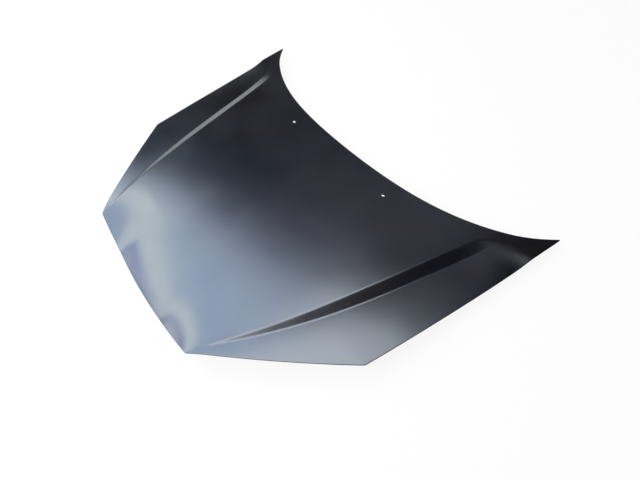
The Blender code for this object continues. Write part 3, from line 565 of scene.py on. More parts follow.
def skin_height(x, y):
    """The middle's height, less the step outside the ridge, plus the shoulder's rise and fall."""
    x = np.abs(x)
    ridge, width = ridge_x(y), np.maximum(step_width(y), 1e-4)
    fade = 1.0 - smooth(*STEP_FADES_Y, y)
    gentle = np.clip(width / (RIDGE_ROUND + FOOT_ROUND), 0.05, 1.0)
    down = ramp(x - ridge, RIDGE_ROUND * gentle) - ramp(x - ridge - width, FOOT_ROUND * gentle)
    across = np.maximum(outline_x(y) - ridge - width, NARROWEST_SHOULDER)
    shoulder = np.clip((x - ridge - width) / across, 0.0, 1.0)
    fall = EDGE_FALL * smooth(*EDGE_FALLS_Y, y)
    fall = fall * (1.0 - smooth(*LEVELS_OUT_Y, y) * (1.0 - smooth(*LEVELS_OUT_ACROSS, across)))
    rise = (STEP_SLOPE * width * fade - fall) * shoulder
    arch = SHOULDER_ARCH * across * shoulder * (1.0 - shoulder)
    return middle_height(x, y) - STEP_SLOPE * fade * down + rise + arch


def skin_normal(x, y):
    """The normal from the two slopes, each taken over a fifth of a millimetre."""
    step = 1e-4
    slope_x = (skin_height(x + step, y) - skin_height(x - step, y)) / (2.0 * step)
    slope_y = (skin_height(x, y + step) - skin_height(x, y - step)) / (2.0 * step)
    return unit(np.stack([-slope_x, -slope_y, np.ones_like(slope_x)], -1))


def on_skin(plan, depth=0.0):
    """The points of the skin over plan points, moved in along the normal by a depth."""
    x, y = plan[..., 0], plan[..., 1]
    surface = np.stack([x, y, skin_height(x, y)], -1)
    return surface - np.asarray(depth)[..., None] * skin_normal(x, y)


for y in (0.2, 0.4, 0.6):
    wide = 1000.0 * step_width(y)
    print(f"y {y}: ridge at {ridge_x(y):.3f} m, step {wide:.0f} by {STEP_SLOPE * wide:.0f} mm")

# %% [markdown]
# ## A grid that follows the creases
#
# A flat grid of squares would cross the ridges at a slant and make them look like saw
# teeth. Here the columns of the grid run along the ridge, along the foot of the step and
# along the outer edge, and they stand closer where the surface turns quickly. The rows
# start on the nose and end on the rear edge. A point's place depends on the ridge at its
# own y, and its y depends on its place, so the two are worked out in turn a few times.

# %% Grid
PULLED_IN, PULLED_IN_Y = 0.024, (0.0, 0.130)
ROW_COUNTS, CORNER_PLACE = (60, 104), 0.385
COLUMN_COUNTS = (44, 9, 6, 9, 24)
NEAR_RIDGE, PAST_FOOT, NARROWEST_STEP = 0.0024, 0.0060, 0.006
MIRROR = np.array([-1.0, 1.0])


def room_for_corner(y):
    """How far the lines along the ridge are pulled in near the nose."""
    return PULLED_IN * (1.0 - smooth(*PULLED_IN_Y, y))


def grid_ridge_x(y):
    """The ridge without its hook, as the grid's column follows it."""
    return ridge_cubic(np.minimum(y, HOOK_FROM_Y)) - room_for_corner(y)


def column_places(y_ridge, y_foot, outer):
    """Distances from the middle of all columns of a row, dense round the ridge and the foot."""
    ridge, near = grid_ridge_x(y_ridge), NEAR_RIDGE
    foot = grid_ridge_x(y_foot) + np.maximum(step_width(y_foot), NARROWEST_STEP)
    far = np.minimum(PAST_FOOT, (outer - foot) * 0.3)
    stops = [0.0 * ridge, ridge - 2.0 * near, ridge + 1.1 * near]
    stops += [foot - 1.1 * near, foot + far, outer]
    parts = [a[..., None] + (b - a)[..., None] * np.linspace(0.0, 1.0, n, endpoint=False)
             for a, b, n in zip(stops, stops[1:], COLUMN_COUNTS)]
    return np.concatenate(parts + [np.asarray(outer)[..., None]], axis=-1)


def half_grid(inset):
    """Plan points, rows by columns, from the middle to the outline set in by inset."""
    nose, outer, rear, corner = half_outline(inset)
    v = np.linspace(0.0, CORNER_PLACE, ROW_COUNTS[0], endpoint=False)
    v = np.concatenate([v, np.linspace(CORNER_PLACE, 1.0, ROW_COUNTS[1])])
    shares = bent(v, CORNER_PLACE, corner)
    edge = resampled(outer, shares)
    first_outer = sum(COLUMN_COUNTS[:3])
    ends = []
    for line, x_end in ((nose, edge[0, 0]), (rear[::-1], edge[-1, 0])):
        y = np.full(sum(COLUMN_COUNTS) + 1, line[0, 1])
        for _ in range(6):
            x = column_places(y[COLUMN_COUNTS[0]], y[first_outer], np.asarray(x_end))
            y = np.interp(x, line[:, 0], line[:, 1])
        ends.append((x, y))
    (nose_x, nose_y), (rear_x, rear_y) = ends
    q = np.clip((np.arange(len(nose_x)) - first_outer) / (len(nose_x) - 1 - first_outer), 0.0, 1.0)
    straight = edge[0, 1] + v * (edge[-1, 1] - edge[0, 1])
    y = nose_y + v[:, None] * (rear_y - nose_y) + q * (edge[:, 1] - straight)[:, None]
    x = column_places(y[:, COLUMN_COUNTS[0]], y[:, first_outer], edge[:, 0])
    x[0], x[-1] = nose_x, rear_x
    return np.stack([x, y], -1), nose_x / nose_x[-1], shares, rear_x / rear_x[-1]


def ring_of_outline(inset, nose_shares, side_places, rear_shares):
    """One closed ring of points round the whole outline, with as many points as the grid's rim."""
    nose, outer, rear, corner = half_outline(inset)
    side = resampled(outer, bent(side_places, half_outline(FLANGE)[3], corner))
    nose = on_line(nose, nose_shares * nose[-1, 0])
    rear = on_line(rear[::-1], rear_shares * rear[0, 0])
    side[0], side[-1] = nose[-1], rear[-1]
    half = np.concatenate([nose, side[1:], rear[-2::-1]])
    return np.concatenate([half, half[-2:0:-1] * MIRROR])


def rim_of_grid(rows, columns):
    """Rows and columns of the points round a grid's rim, in the order of ring_of_outline."""
    middle, last = columns // 2, rows - 1
    run = [(0, c) for c in range(middle, columns)] + [(r, columns - 1) for r in range(1, rows)]
    run += [(last, c) for c in range(columns - 2, -1, -1)]
    run += [(r, 0) for r in range(last - 1, -1, -1)]
    return tuple(np.array(run + [(0, c) for c in range(1, middle)]).T)


def both_halves(field, turned=1.0):
    """The right half's field with its mirror image before it; a plan's x changes sign."""
    return np.concatenate([field[:, :0:-1] * turned, field], axis=1)


half, nose_shares, side_places, rear_shares = half_grid(FLANGE)
plan = both_halves(half, MIRROR)
print("grid of", plan.shape[0], "rows and", plan.shape[1], "columns")

# %% [markdown]
# ## The skin, hemmed all round
#
# Now the skin can be built as one closed sheet, as the press and the hemming die make it:
# the top, a rolled edge of a millimetre and a half, the folded strip underneath and the
# inner face. The rings of the hem are the outline again, a little further in each time,
# and a little deeper along the normal of the surface.

# %% Skin
SKIN_THICKNESS = 0.0008
FOLD = 0.0029
NOZZLE_AT, HOLE_RADIUS = (0.248, 0.737), 0.0055
KEY_HALF_WIDTH, KEY_REACH, NEAR_HOLE = 0.00225, 0.0130, 0.0012
BLOCK_ROWS, BLOCK_COLUMNS = 4, 2


def grid_quads(index):
    """The four corners of every cell of a grid of point numbers, facing up."""
    corners = [index[:-1, :-1], index[:-1, 1:], index[1:, 1:], index[1:, :-1]]
    return np.stack(corners, -1).reshape(-1, 4)


def hem_profile():
    """Inset and depth of each ring of the hem: in to the edge, round it, and back under."""
    middle, lip, inner = FOLD / 2.0, 0.0122, FOLD - SKIN_THICKNESS
    before = [(inset, 0.0) for inset in (0.0105, 0.0075, 0.0050, 0.0032, 0.0022)]
    roll = [(middle - middle * math.sin(a), middle - middle * math.cos(a))
            for a in np.linspace(0.0, math.pi, 9)]
    after = [(0.0035, FOLD), (0.0080, FOLD), (0.0116, FOLD)]
    after += [(lip, FOLD - 0.0002), (lip, FOLD - 0.0006), (0.0116, inner)]
    inside = [(0.0022, inner), (0.0016, middle), (0.0022, SKIN_THICKNESS), (0.0080, SKIN_THICKNESS)]
    return before + roll + after + inside


def keyhole(centre, steps):
    """A round hole with a slot to the rear: at each angle the larger reach of the two.

    The points start at the rear and go round with the clock, closer together near the slot.
    """
    even = np.linspace(0.0, 2.0 * math.pi, steps, endpoint=False)
    even = (even + math.pi) % (2.0 * math.pi) - math.pi
    angle = even * (0.35 + 0.65 * np.abs(even / math.pi))
    with np.errstate(divide="ignore"):
        slot = np.minimum(KEY_REACH / np.cos(angle), KEY_HALF_WIDTH / np.abs(np.sin(angle)))
    reach = np.maximum(HOLE_RADIUS, np.where(np.abs(angle) < 1.2, slot, 0.0))
    return np.asarray(centre) + reach[:, None] * np.stack([np.sin(angle), np.cos(angle)], -1)


def nearest_cell(points, centre):
    """Row and column of the grid point nearest to a place."""
    return np.unravel_index(np.argmin(((points - centre) ** 2).sum(-1)), points.shape[:2])


def loop_round(r0, r1, c0, c1):
    """The loop of grid points round a block of cells, with the clock from its rear left corner."""
    loop = [(r1, c) for c in range(c0, c1)] + [(r, c1) for r in range(r1, r0, -1)]
    loop += [(r0, c) for c in range(c1, c0, -1)] + [(r, c0) for r in range(r0, r1)]
    return np.array(loop)


class Sheet:
    """Points and faces of one body, gathered ring by ring."""

    def __init__(self, *grids):
        self.points = [grid.reshape(-1, 3) for grid in grids]
        self.count = sum(len(p) for p in self.points)
        self.quads = []

    def ring(self, points):
        """Takes a ring of points in and returns their numbers."""
        self.points.append(points)
        self.count += len(points)
        return np.arange(self.count - len(points), self.count)

    def join(self, *rings):
        """Joins each ring to the next by a band of faces."""
        for inner, outer in zip(rings, rings[1:]):
            self.quads.append(np.stack([inner, outer, np.roll(outer, -1), np.roll(inner, -1)], -1))

    def mesh(self, name, triangles=()):
        """The mesh laid onto the floor, with any triangles after its four-cornered faces."""
        made = bpy.data.meshes.new(name)
        faces = np.concatenate(self.quads).tolist() + list(triangles)
        made.from_pydata(lay(np.concatenate(self.points)).tolist(), [], faces)
        made.shade_smooth()
        return made


def pierce(sheet, top, under, centre):
    """Fills the block of cells round a hole with rings that close in on it, above and below."""
    row, column = nearest_cell(plan, centre)
    r0, r1 = row - BLOCK_ROWS, row + BLOCK_ROWS
    c0, c1 = column - BLOCK_COLUMNS, column + BLOCK_COLUMNS
    loop = np.roll(loop_round(r0, r1, c0, c1), c0 - column, axis=0)
    loop = loop[:, 0], loop[:, 1]
    hole, border = keyhole(centre, len(loop[0])), plan[loop]
    outward = unit(hole - centre)
    near = hole + NEAR_HOLE * outward
    far = 0.5 * border + 0.5 * near
    levels = [(far, 0.0), (near, 0.0), (hole + 0.0003 * outward, 0.00006), (hole, 0.0003)]
    levels += [(hole, 0.0006), (near, SKIN_THICKNESS), (far, SKIN_THICKNESS)]
    rings = [sheet.ring(on_skin(place, depth)) for place, depth in levels]
    sheet.join(top[loop], *rings, under[loop])
    return slice(r0, r1), slice(c0, c1)


def skin_mesh(name):
    """The grid above and below, holes pierced, and the rings of the hem round both."""
    sheet = Sheet(on_skin(plan), on_skin(plan, SKIN_THICKNESS))
    top = numbered(*plan.shape[:2])
    under = top + top.size
    whole = np.ones((plan.shape[0] - 1, plan.shape[1] - 1), bool)
    for side in (-1.0, 1.0):
        whole[pierce(sheet, top, under, np.array([side * NOZZLE_AT[0], NOZZLE_AT[1]]))] = False
    sheet.quads += [grid_quads(top)[whole.ravel()], grid_quads(under)[whole.ravel(), ::-1]]
    rim = rim_of_grid(*plan.shape[:2])
    rings = []
    for inset, depth in hem_profile():
        ring = ring_of_outline(inset, nose_shares, side_places, rear_shares)
        rings.append(sheet.ring(on_skin(ring, depth)))
    sheet.join(top[rim], *rings, under[rim])
    return sheet.mesh(name)


skin_sheet = skin_mesh("hemmed_skin")
print(len(skin_sheet.vertices), "points and", len(skin_sheet.polygons), "faces in the skin")

# %% [markdown]
# ## The finish of the skin
#
# Dip primer is a thin, even, satin film. It is nearly black, a little blue where it is
# thickest and a little brown where it has seen more heat. Under a lamp it shows two
# things: a fine orange peel, and places where hands and shelves have polished or dulled it.
# Colour varies by clouds a hand wide, roughness by smaller ones, and a bump of a few
# hundredths of a millimetre gives the peel.

# %% Satin primer
def satin_primer(name):
    """The skin's finish: nearly black, satin, with clouds of colour, rubbed places and dust."""
    tint = (0.66, 0.82, 1.0, 1.0)
    made = Finish(name, IOR=2.15, Coat_Roughness=0.2, Coat_IOR=1.6, Specular_Tint=tint)
    cloud = made.clouds(1.7, 2.0, 0.36, 0.66)
    base = made.blend(cloud, (0.0016, 0.0022, 0.0050), (0.0065, 0.0048, 0.0052))
    dust = made.clouds(260.0, 2.0, 0.70, 0.80) * made.clouds(6.0, 3.0, 0.45, 0.65)
    made.feed(Base_Color=made.blend(dust * 0.35, base, (0.10, 0.10, 0.10)))
    rubbed = made.clouds(5.0, 4.0, 0.35, 0.70)
    made.feed(Roughness=0.20 + rubbed * 0.05 + dust * 0.10, Coat_Weight=0.10 + rubbed * 0.25)
    made.bump(made.noise(420.0, 1.0), 0.00002)
    return made.material


skin = link(skin_sheet, satin_primer("satin black primer"))
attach(skin, "root")
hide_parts("outer_panel")
print("skin replaces the plain outer panel")

# %% [markdown]
# ## The lines of the inner frame
#
# The frame under the skin is a second pressing: closed channels round the edge, two ribs
# that run fore and aft, a cross rib, and windows between them that save weight. Its shape
# is held by a net of 23 by 21 lines on each half, which follow the outline, the ridge and
# the ribs. At each crossing one number says how deep the channel is, from 0 on a flange
# to 1 on a floor. Between the lines the number eases from one to the next, which gives
# every wall the round folds of a pressing.

# %% Net of the frame
NET_ROWS = np.array([0, 14, 48, 92, 106, 118, 180, 242, 300, 312, 326, 356,
                     370, 382, 450, 520, 590, 602, 618, 656, 706, 764, 778]) / 778.0
NET_CORNER, NET_RIDGE, NET_LAST = 8, 14, 20
RIB_PLACE, RIB_HALF_WIDTHS = 0.52, (0.015, 0.027, 0.038)
BEAM_FROM_RIDGE, BEAM_WALL = (0.050, 0.064, 0.078), 0.016
WINDOW_ROWS, WINDOW_COLUMNS = ((5, 8), (13, 16)), ((0, 3), (8, 11))
FLOOR_DEPTH, RIB_FLOOR_DEPTH, FRONT_FLOOR_Z, FRONT_FLOOR_Y = 0.034, 0.024, -0.050, (0.115, 0.190)
HINGE_SEAT_Z, FINER, NARROWEST_FOOT = -0.0335, 4, 0.003
REAR_RIDGE_X = 0.566


def net_ridge_x(y):
    """The ridge as the net follows it, without the hook to the very rear."""
    return ridge_cubic(y) - room_for_corner(y)


def net_columns(ridge, foot, outer):
    """Distances of the 21 lines from the middle.

    They pass the window, rib, window, beam, ridge, foot, side channel and edge.
    """
    rib = RIB_PLACE * ridge
    near, middle, far = RIB_HALF_WIDTHS
    wall = outer - min(BEAM_WALL / max(outer - foot, 1e-4), 0.3) * (outer - foot)
    window_end = ridge - BEAM_FROM_RIDGE[2]
    return np.concatenate([
        np.linspace(0.0, rib - far, 4),
        [rib - middle, rib - near, rib + near, rib + middle],
        np.linspace(rib + far, window_end, 4),
        [ridge - BEAM_FROM_RIDGE[1], ridge - BEAM_FROM_RIDGE[0], ridge, foot],
        np.linspace(foot + 0.25 * min(STEP_WIDTH, wall - foot), wall, 4),
        [outer],
    ])


def net_foot(ridge, y):
    """Where the step ends beside the ridge."""
    return ridge + np.maximum(step_width(y), NARROWEST_FOOT)


def net_shares():
    """Share of the outer side's length at which each row of the net ends."""
    return bent(NET_ROWS, NET_ROWS[NET_CORNER], half_outline(FLANGE)[3])


def net_plan():
    """Plan points of the net on the right half, its rows bent to meet the nose and the rear."""
    nose, outer, rear, _ = half_outline(FLANGE)
    edge = resampled(outer, net_shares())
    start = net_ridge_x(nose[0, 1] + NOSE_BULGE)
    end = net_ridge_x(rear_edge_y(REAR_RIDGE_X) - FLANGE)
    ends = [
        on_line(nose, net_columns(start, start + NARROWEST_FOOT, edge[0, 0])),
        on_line(rear[::-1], net_columns(end, end + STEP_WIDTH, edge[-1, 0])),
    ]
    net = []
    for v, point in zip(NET_ROWS, edge):
        middle_y, ridge_y = ((1.0 - v) * ends[0][c, 1] + v * ends[1][c, 1] for c in (0, NET_RIDGE))
        ridge = net_ridge_x(ridge_y)
        x = net_columns(ridge, net_foot(ridge, ridge_y), point[0])
        y = np.interp(x, [0.0, ridge, point[0]], [middle_y, ridge_y, point[1]])
        net.append(np.stack([x, y], -1))
    net, v = np.array(net), NET_ROWS[:, None, None]
    net = net + (ends[0] - net[0]) * (1.0 - v) ** 3 + (ends[1] - net[-1]) * v**3
    net[:, -1] = edge
    inner = net[1:-1]
    inner[:, NET_RIDGE, 0] = net_ridge_x(inner[:, NET_RIDGE, 1])
    foot_y = inner[:, NET_RIDGE + 1, 1]
    inner[:, NET_RIDGE + 1, 0] = net_foot(net_ridge_x(foot_y), foot_y)
    return net


def net_fields(net):
    """Depth share, how far the flange has left the hem, the floor's rise, and the hinge seats."""
    share = np.zeros(net.shape[:2])
    share[1:4] = share[18:22] = 1.0  # the front and the rear channel
    share[1:22, 13:20] = share[1:22, 5:7] = 1.0  # the side channel and the rib
    share[10:12, :14] = 1.0  # the cross rib
    loop = np.concatenate(half_outline(0.0)[:3])
    distance = np.sqrt(((net[:, :, None] - loop) ** 2).sum(-1).min(-1))
    seat, rise = np.zeros_like(share), np.zeros_like(share)
    seat[19:22, 14:18] = 1.0
    rise[5:17, :9] = FLOOR_DEPTH - RIB_FLOOR_DEPTH
    share = np.maximum(seat, share * smooth(FLANGE + 0.002, FLANGE + 0.012, distance))
    return share, smooth(FLANGE + 0.001, FLANGE + 0.012, distance), rise, seat


def refined(field, eased=True):
    """The field on a net four times finer both ways; eased steps are level at each line."""
    for axis in (0, 1):
        field = np.moveaxis(field, axis, 0)
        place = np.arange((len(field) - 1) * FINER + 1) / FINER
        low = np.minimum(place.astype(int), len(field) - 2)
        part = (place - low).reshape(-1, *[1] * (field.ndim - 1))
        part = smooth(0.0, 1.0, part) if eased else part
        field = np.moveaxis(field[low] * (1.0 - part) + field[low + 1] * part, 0, axis)
    return field


def window_cells():
    """For each fine cell of the half: 2 whole, 0 gone, 1 cut across; and the corner a cut keeps.

    The windows of the first columns reach the middle, so they have no corners there.
    """
    state = np.full(((len(NET_ROWS) - 1) * FINER, NET_LAST * FINER), 2)
    keeps = np.zeros(state.shape + (2,), int)
    a, b = np.meshgrid(np.arange(FINER), np.arange(FINER), indexing="ij")
    for rows, columns in itertools.product(WINDOW_ROWS, WINDOW_COLUMNS):
        state[rows[0] * FINER : rows[1] * FINER, columns[0] * FINER : columns[1] * FINER] = 0
        for cr, cc in ((0, 0), (0, 1), (1, 0), (1, 1)):
            if columns[0] == 0 and cc == 0:
                continue
            far = (FINER - 1 - a if cr else a) + (FINER - 1 - b if cc else b)
            r = (rows[1] - 1 if cr else rows[0]) * FINER
            c = (columns[1] - 1 if cc else columns[0]) * FINER
            state[r : r + FINER, c : c + FINER] = np.clip(FINER - far, 0, 2)
            keeps[r : r + FINER, c : c + FINER] = (cr, cc)
    return state, keeps


net = net_plan()
fine_net = refined(net, eased=False)
frame_plan = both_halves(fine_net, MIRROR)
frame_share, left_hem, frame_rise, frame_seat = (both_halves(refined(f)) for f in net_fields(net))
print("frame net of", frame_plan.shape[0], "by", frame_plan.shape[1], "points")

# %% [markdown]
# ## The pressed frame
#
# The sheet is a mixture, point by point, of two surfaces: the flange, which keeps four
# millimetres under the skin, and the floor of the channels, which is a copy of the middle
# panel set lower. The windows' corners are rounded by moving each point of their edges
# toward the middle of its neighbours a few times. Then the edge is turned down by four
# millimetres, as a press does to keep a thin sheet from tearing. Round holes are closed in
# by rings, like those of the skin.

# %% Frame
FRAME_THICKNESS, HEM_GAP, MASTIC_GAP = 0.0007, 0.0003, 0.0040
HEM_RING_INSET, EDGE_ROUNDS, HOLE_MARGIN = 0.0024, 8, 0.005
EDGE_FOLD = ((0.0010, 0.0003), (0.0016, 0.0012), (0.0018, 0.0040))
HOLE_FOLD = ((0.0022, 0.0), (0.0008, 0.0), (0.0002, 0.0003), (0.0, 0.0012))
BOLTS_AT, BOLT_SHIFT, BOLT_TURN, BOLT_HOLE = (0.581, 0.808), 0.023, math.radians(14.5), 0.0045
ACCESS_HOLE, PROP_SLOT = ((0.262, 0.738), 0.052, 0.023), ((0.400, 0.205), 0.012, 0.006)
DRAINS_AT, DRAIN_HOLE = ((0.215, 0.052), (0.455, 0.262), (0.512, 0.420), (0.550, 0.580)), 0.007


def floor_height(x, y):
    """The middle panel without the curl of its nose, set lower; level near the nose."""
    x = np.abs(x)
    front = 1.0 - smooth(*FRONT_FLOOR_Y, y)
    lowered = middle_height(x, y) + nose_fall(x, y) - FLOOR_DEPTH
    return lowered * (1.0 - front) + FRONT_FLOOR_Z * front


def frame_sheet(plan_points):
    """The mixture of flange and floor on the whole fine net."""
    x, y = plan_points[..., 0], plan_points[..., 1]
    gap = HEM_GAP + left_hem * (MASTIC_GAP - HEM_GAP)
    flange = on_skin(plan_points, SKIN_THICKNESS + gap)
    height = floor_height(x, y) + frame_rise
    height = height * (1.0 - frame_seat) + HINGE_SEAT_Z * frame_seat
    floor = np.stack([x, y, height], -1)
    return flange * (1.0 - frame_share[..., None]) + floor * frame_share[..., None]


def hole_outlines():
    """Centre, half length, half width of each hole, and whether it goes through a hinge's seat."""
    for side in (-1.0, 1.0):
        mirrored = np.array([side, 1.0])
        turn = np.array([side * math.sin(BOLT_TURN), math.cos(BOLT_TURN)])
        for shift in (-BOLT_SHIFT, BOLT_SHIFT):
            yield mirrored * BOLTS_AT + shift * turn, BOLT_HOLE, BOLT_HOLE, True
        for place, half_length, half_width in (ACCESS_HOLE, PROP_SLOT):
            yield mirrored * place, half_length, half_width, False
        for place in DRAINS_AT:
            yield mirrored * place, DRAIN_HOLE, DRAIN_HOLE, False


def slot_outline(half_length, half_width, along, across):
    """Points round a slot with round ends, clockwise from its rear left corner.

    Each long side with half of both its ends takes "along" steps, and each end "across" steps.
    """
    run = half_length - half_width
    arcs = ((135, 90, 13), (90, -90, 49), (-90, -225, 37))
    turn = np.radians(np.concatenate([np.linspace(*arc) for arc in arcs]))
    dense = half_width * np.stack([np.cos(turn), np.sin(turn)], -1)
    dense[:, 0] += np.repeat([-run, run, -run], [arc[2] for arc in arcs])
    end = half_width * math.pi / 2.0
    stops = np.cumsum([0.0, 2.0 * run + end, end, 2.0 * run + end, end])
    counts = np.cumsum([0, along, across, along, across])
    at = np.interp(np.arange(counts[-1]), counts, stops)
    return points_at(dense, lengths(dense), at)


def close_in(sheet, grid, whole, centre, half_length, half_width, in_seat):
    """Replaces the cells round one hole by rings that end in a rim turned down round the hole.

    The first ring has two points for each point of the block's border, joined by triangles.
    """
    row, column = nearest_cell(frame_plan, centre)
    up, down, left, right = 1, 1, 1, 1
    for _ in range(12):
        block = frame_plan[row - down : row + up + 1, column - left : column + right + 1] - centre
        up += block[-1, :, 1].min() < half_width + HOLE_MARGIN
        down += block[0, :, 1].max() > -half_width - HOLE_MARGIN
        right += block[:, -1, 0].min() < half_length + HOLE_MARGIN
        left += block[:, 0, 0].max() > -half_length - HOLE_MARGIN
    r0, r1, c0, c1 = row - down, row + up, column - left, column + right
    loop = loop_round(r0, r1, c0, c1)
    whole[r0:r1, c0:c1] = False
    steps, rings = (2 * (c1 - c0), 2 * (r1 - r0)), []
    for extra, fall in HOLE_FOLD:
        place = centre + slot_outline(half_length + extra, half_width + extra, *steps)
        height = HINGE_SEAT_Z if in_seat else floor_height(place[:, 0], place[:, 1])
        rings.append(sheet.ring(np.column_stack([place, np.zeros(len(place)) + height - fall])))
    border, near = grid[loop[:, 0], loop[:, 1]], rings[0]
    first, between, after = near[0::2], near[1::2], np.roll(near[0::2], -1)
    sheet.join(*rings)
    return np.concatenate([
        np.stack([border, first, between], -1),
        np.stack([border, between, np.roll(border, -1)], -1),
        np.stack([np.roll(border, -1), between, after], -1),
    ])


def pair_sums(count, pairs, values_at):
    """For each point, the sum of what its partners in the pairs carry."""
    total = np.zeros((count, values_at.shape[-1]))
    np.add.at(total, pairs[:, 0], values_at[pairs[:, 1]])
    np.add.at(total, pairs[:, 1], values_at[pairs[:, 0]])
    return total


def cut_cells(grid, state, keeps):
    """The triangles that are left of the cells cut across, on the right half and then the left."""
    r, c = np.nonzero(state == 1)
    kr, kc = keeps[r, c].T
    corners = [(r + kr, c + kc), (r + kr, c + 1 - kc), (r + 1 - kr, c + kc)]
    middle = NET_LAST * FINER
    right, left = (np.stack([grid[row, middle + side * column] for row, column in corners], -1)
                   for side in (1, -1))
    upright = kr == kc
    right[~upright] = right[~upright, ::-1]
    left[upright] = left[upright, ::-1]
    return np.concatenate([right, left])


def free_edges(grid, quads, triangles):
    """Point pairs of the edges round the windows: those of one face only, off the sheet's rim."""
    ways = np.concatenate([f[:, [k, (k + 1) % f.shape[1]]]
                           for f in (quads, triangles) for k in range(f.shape[1])])
    back = ways[:, 1] * grid.size + ways[:, 0]
    free = ways[~np.isin(ways[:, 0] * grid.size + ways[:, 1], back)]
    on_rim = np.zeros(grid.size, bool)
    on_rim[grid[rim_of_grid(*grid.shape)]] = True
    return free[~(on_rim[free[:, 0]] & on_rim[free[:, 1]])]


def fold_edges(sheet, flat, free, edge_points):
    """Turns the sheet down along the free edges, in rings set aside and down."""
    along = flat[free[:, 1]] - flat[free[:, 0]]
    outward = np.zeros_like(flat)
    for end in (0, 1):
        np.add.at(outward, free[:, end], np.stack([along[:, 1], -along[:, 0]], -1))
    outward = unit(outward[edge_points])
    base, (a, b) = sheet.points[0][edge_points], free.T
    previous = np.arange(len(flat))
    for aside, fall in EDGE_FOLD:
        ring = np.arange(len(flat))
        down = np.full(len(base), -fall)
        ring[edge_points] = sheet.ring(base + np.column_stack([aside * outward, down]))
        sheet.quads.append(np.stack([previous[b], previous[a], ring[a], ring[b]], -1))
        previous = ring


def frame_mesh(name):
    """One open sheet; a Solidify modifier gives it its thickness."""
    grid = numbered(*frame_plan.shape[:2])
    state, keeps = window_cells()
    whole = np.concatenate([state[:, ::-1], state], axis=1) == 2
    triangles = cut_cells(grid, state, keeps)
    free = free_edges(grid, grid_quads(grid)[whole.ravel()], triangles)
    flat = frame_plan.reshape(-1, 2).copy()
    edge_points = np.unique(free)
    for _ in range(EDGE_ROUNDS):
        flat[edge_points] = (0.5 * flat + 0.25 * pair_sums(grid.size, free, flat))[edge_points]

    sheet = Sheet(frame_sheet(flat.reshape(frame_plan.shape)))
    fans = [close_in(sheet, grid, whole, *hole) for hole in hole_outlines()]
    sheet.quads.append(grid_quads(grid)[whole.ravel()])
    fold_edges(sheet, flat, free, edge_points)

    side_shares = np.interp(np.arange(len(grid)) / FINER, np.arange(len(NET_ROWS)), net_shares())
    nose_x, rear_x = fine_net[0, :, 0], fine_net[-1, :, 0]
    ring = ring_of_outline(HEM_RING_INSET, nose_x / nose_x[-1], side_shares, rear_x / rear_x[-1])
    ring = sheet.ring(on_skin(ring, SKIN_THICKNESS + HEM_GAP))
    sheet.join(grid[rim_of_grid(*grid.shape)], ring)
    return sheet.mesh(name, np.concatenate([triangles] + fans).tolist())


pressed_frame = link(frame_mesh("pressed_frame"))
solidify = pressed_frame.modifiers.new("sheet", "SOLIDIFY")
solidify.thickness, solidify.offset = FRAME_THICKNESS, -1.0
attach(pressed_frame, "root")
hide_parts("inner_frame")
print(len(pressed_frame.data.polygons), "faces in the frame")
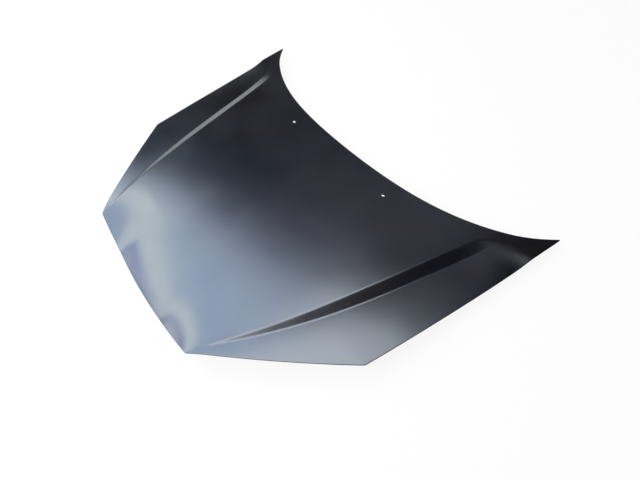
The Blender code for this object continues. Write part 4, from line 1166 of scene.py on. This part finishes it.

# %% [markdown]
# ## Finishes of the underside
#
# The frame and the plates went through the same dip as the skin, but nobody sands or
# polishes them. Their film is duller, and it has dried in long soft curtains. Bolts, nuts
# and the striker loop come zinc plated and yellow passivated, so their colour wanders
# between straw, grey and a trace of violet. The mastic that keeps the skin off the frame
# is soft and matt, and has small pits.

# %% Frame primer, plate primer, zinc and mastic
def dip_primer(name, light, curtain_scale):
    """Dull dip primer: curtains stretched fore and aft, dust in spots, and a thick peel."""
    made = Finish(name, IOR=1.6)
    curtain = made.clouds(curtain_scale, 3.0, 0.35, 0.65, made.stretched(1.0, 0.25, 1.0))
    base = made.blend(curtain, tuple(0.75 * c for c in light), light)
    dust = made.clouds(9.0, 5.0, 0.50, 0.72) * made.clouds(180.0, 2.0, 0.42, 0.70)
    made.feed(Base_Color=made.blend(dust * 0.30, base, (0.11, 0.105, 0.095)))
    made.feed(Roughness=0.40 + curtain * 0.10 + dust * 0.25)
    made.bump(made.noise(300.0, 2.0) * 0.5 + curtain * 0.5, 0.00006)
    return made.material


def zinc(name):
    """Passivated zinc: a metal whose tint drifts, with dull patches and fine tool marks."""
    made = Finish(name, Metallic=1.0)
    tint = made.noise(55.0, 2.0)
    straw = made.blend(made.spread(tint, 0.35, 0.55), (0.52, 0.50, 0.46), (0.60, 0.52, 0.33))
    colour = made.blend(made.spread(tint, 0.56, 0.66), straw, (0.47, 0.42, 0.50))
    dull = made.clouds(140.0, 4.0, 0.40, 0.66)
    made.feed(Base_Color=made.blend(dull * 0.4, colour, (0.34, 0.33, 0.31)))
    made.feed(Roughness=0.26 + dull * 0.24)
    made.bump(made.noise(260.0, 2.0, made.stretched(1.0, 1.0, 14.0)), 0.00003)
    return made.material


def dark_mastic(name):
    """Soft filler: matt, near black, with pits and a dusty bloom."""
    made = Finish(name, IOR=1.45)
    bloom = made.clouds(90.0, 3.0, 0.45, 0.70)
    made.feed(Base_Color=made.blend(bloom, (0.016, 0.016, 0.017), (0.050, 0.048, 0.045)))
    pits = made.clouds(600.0, 2.0, 0.30, 0.50)
    made.feed(Roughness=0.72 + bloom * 0.16)
    made.bump(pits, 0.0002)
    return made.material


FINISHES = {
    "frame primer": dip_primer("dull frame primer", (0.020, 0.021, 0.024), 14.0),
    "plate primer": dip_primer("dull plate primer", (0.030, 0.030, 0.032), 40.0),
    "zinc plating": zinc("passivated zinc"),
    "mastic": dark_mastic("soft mastic"),
}


FINISH_STARTS = {"hinge_nut": "zinc plating", "striker_loop": "zinc plating", "mastic": "mastic"}


def finish_of(node):
    """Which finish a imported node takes, by the first words of its name."""
    found = (finish for start, finish in FINISH_STARTS.items() if node.startswith(start))
    return next(found, "plate primer")


for piece in list(bpy.data.objects):
    if piece.name.startswith(("hinge_", "striker_", "mastic_")):
        piece.data.materials.clear()
        piece.data.materials.append(FINISHES[finish_of(piece.name)])
pressed_frame.data.materials.append(FINISHES["frame primer"])
print("finishes:", ", ".join(FINISHES))
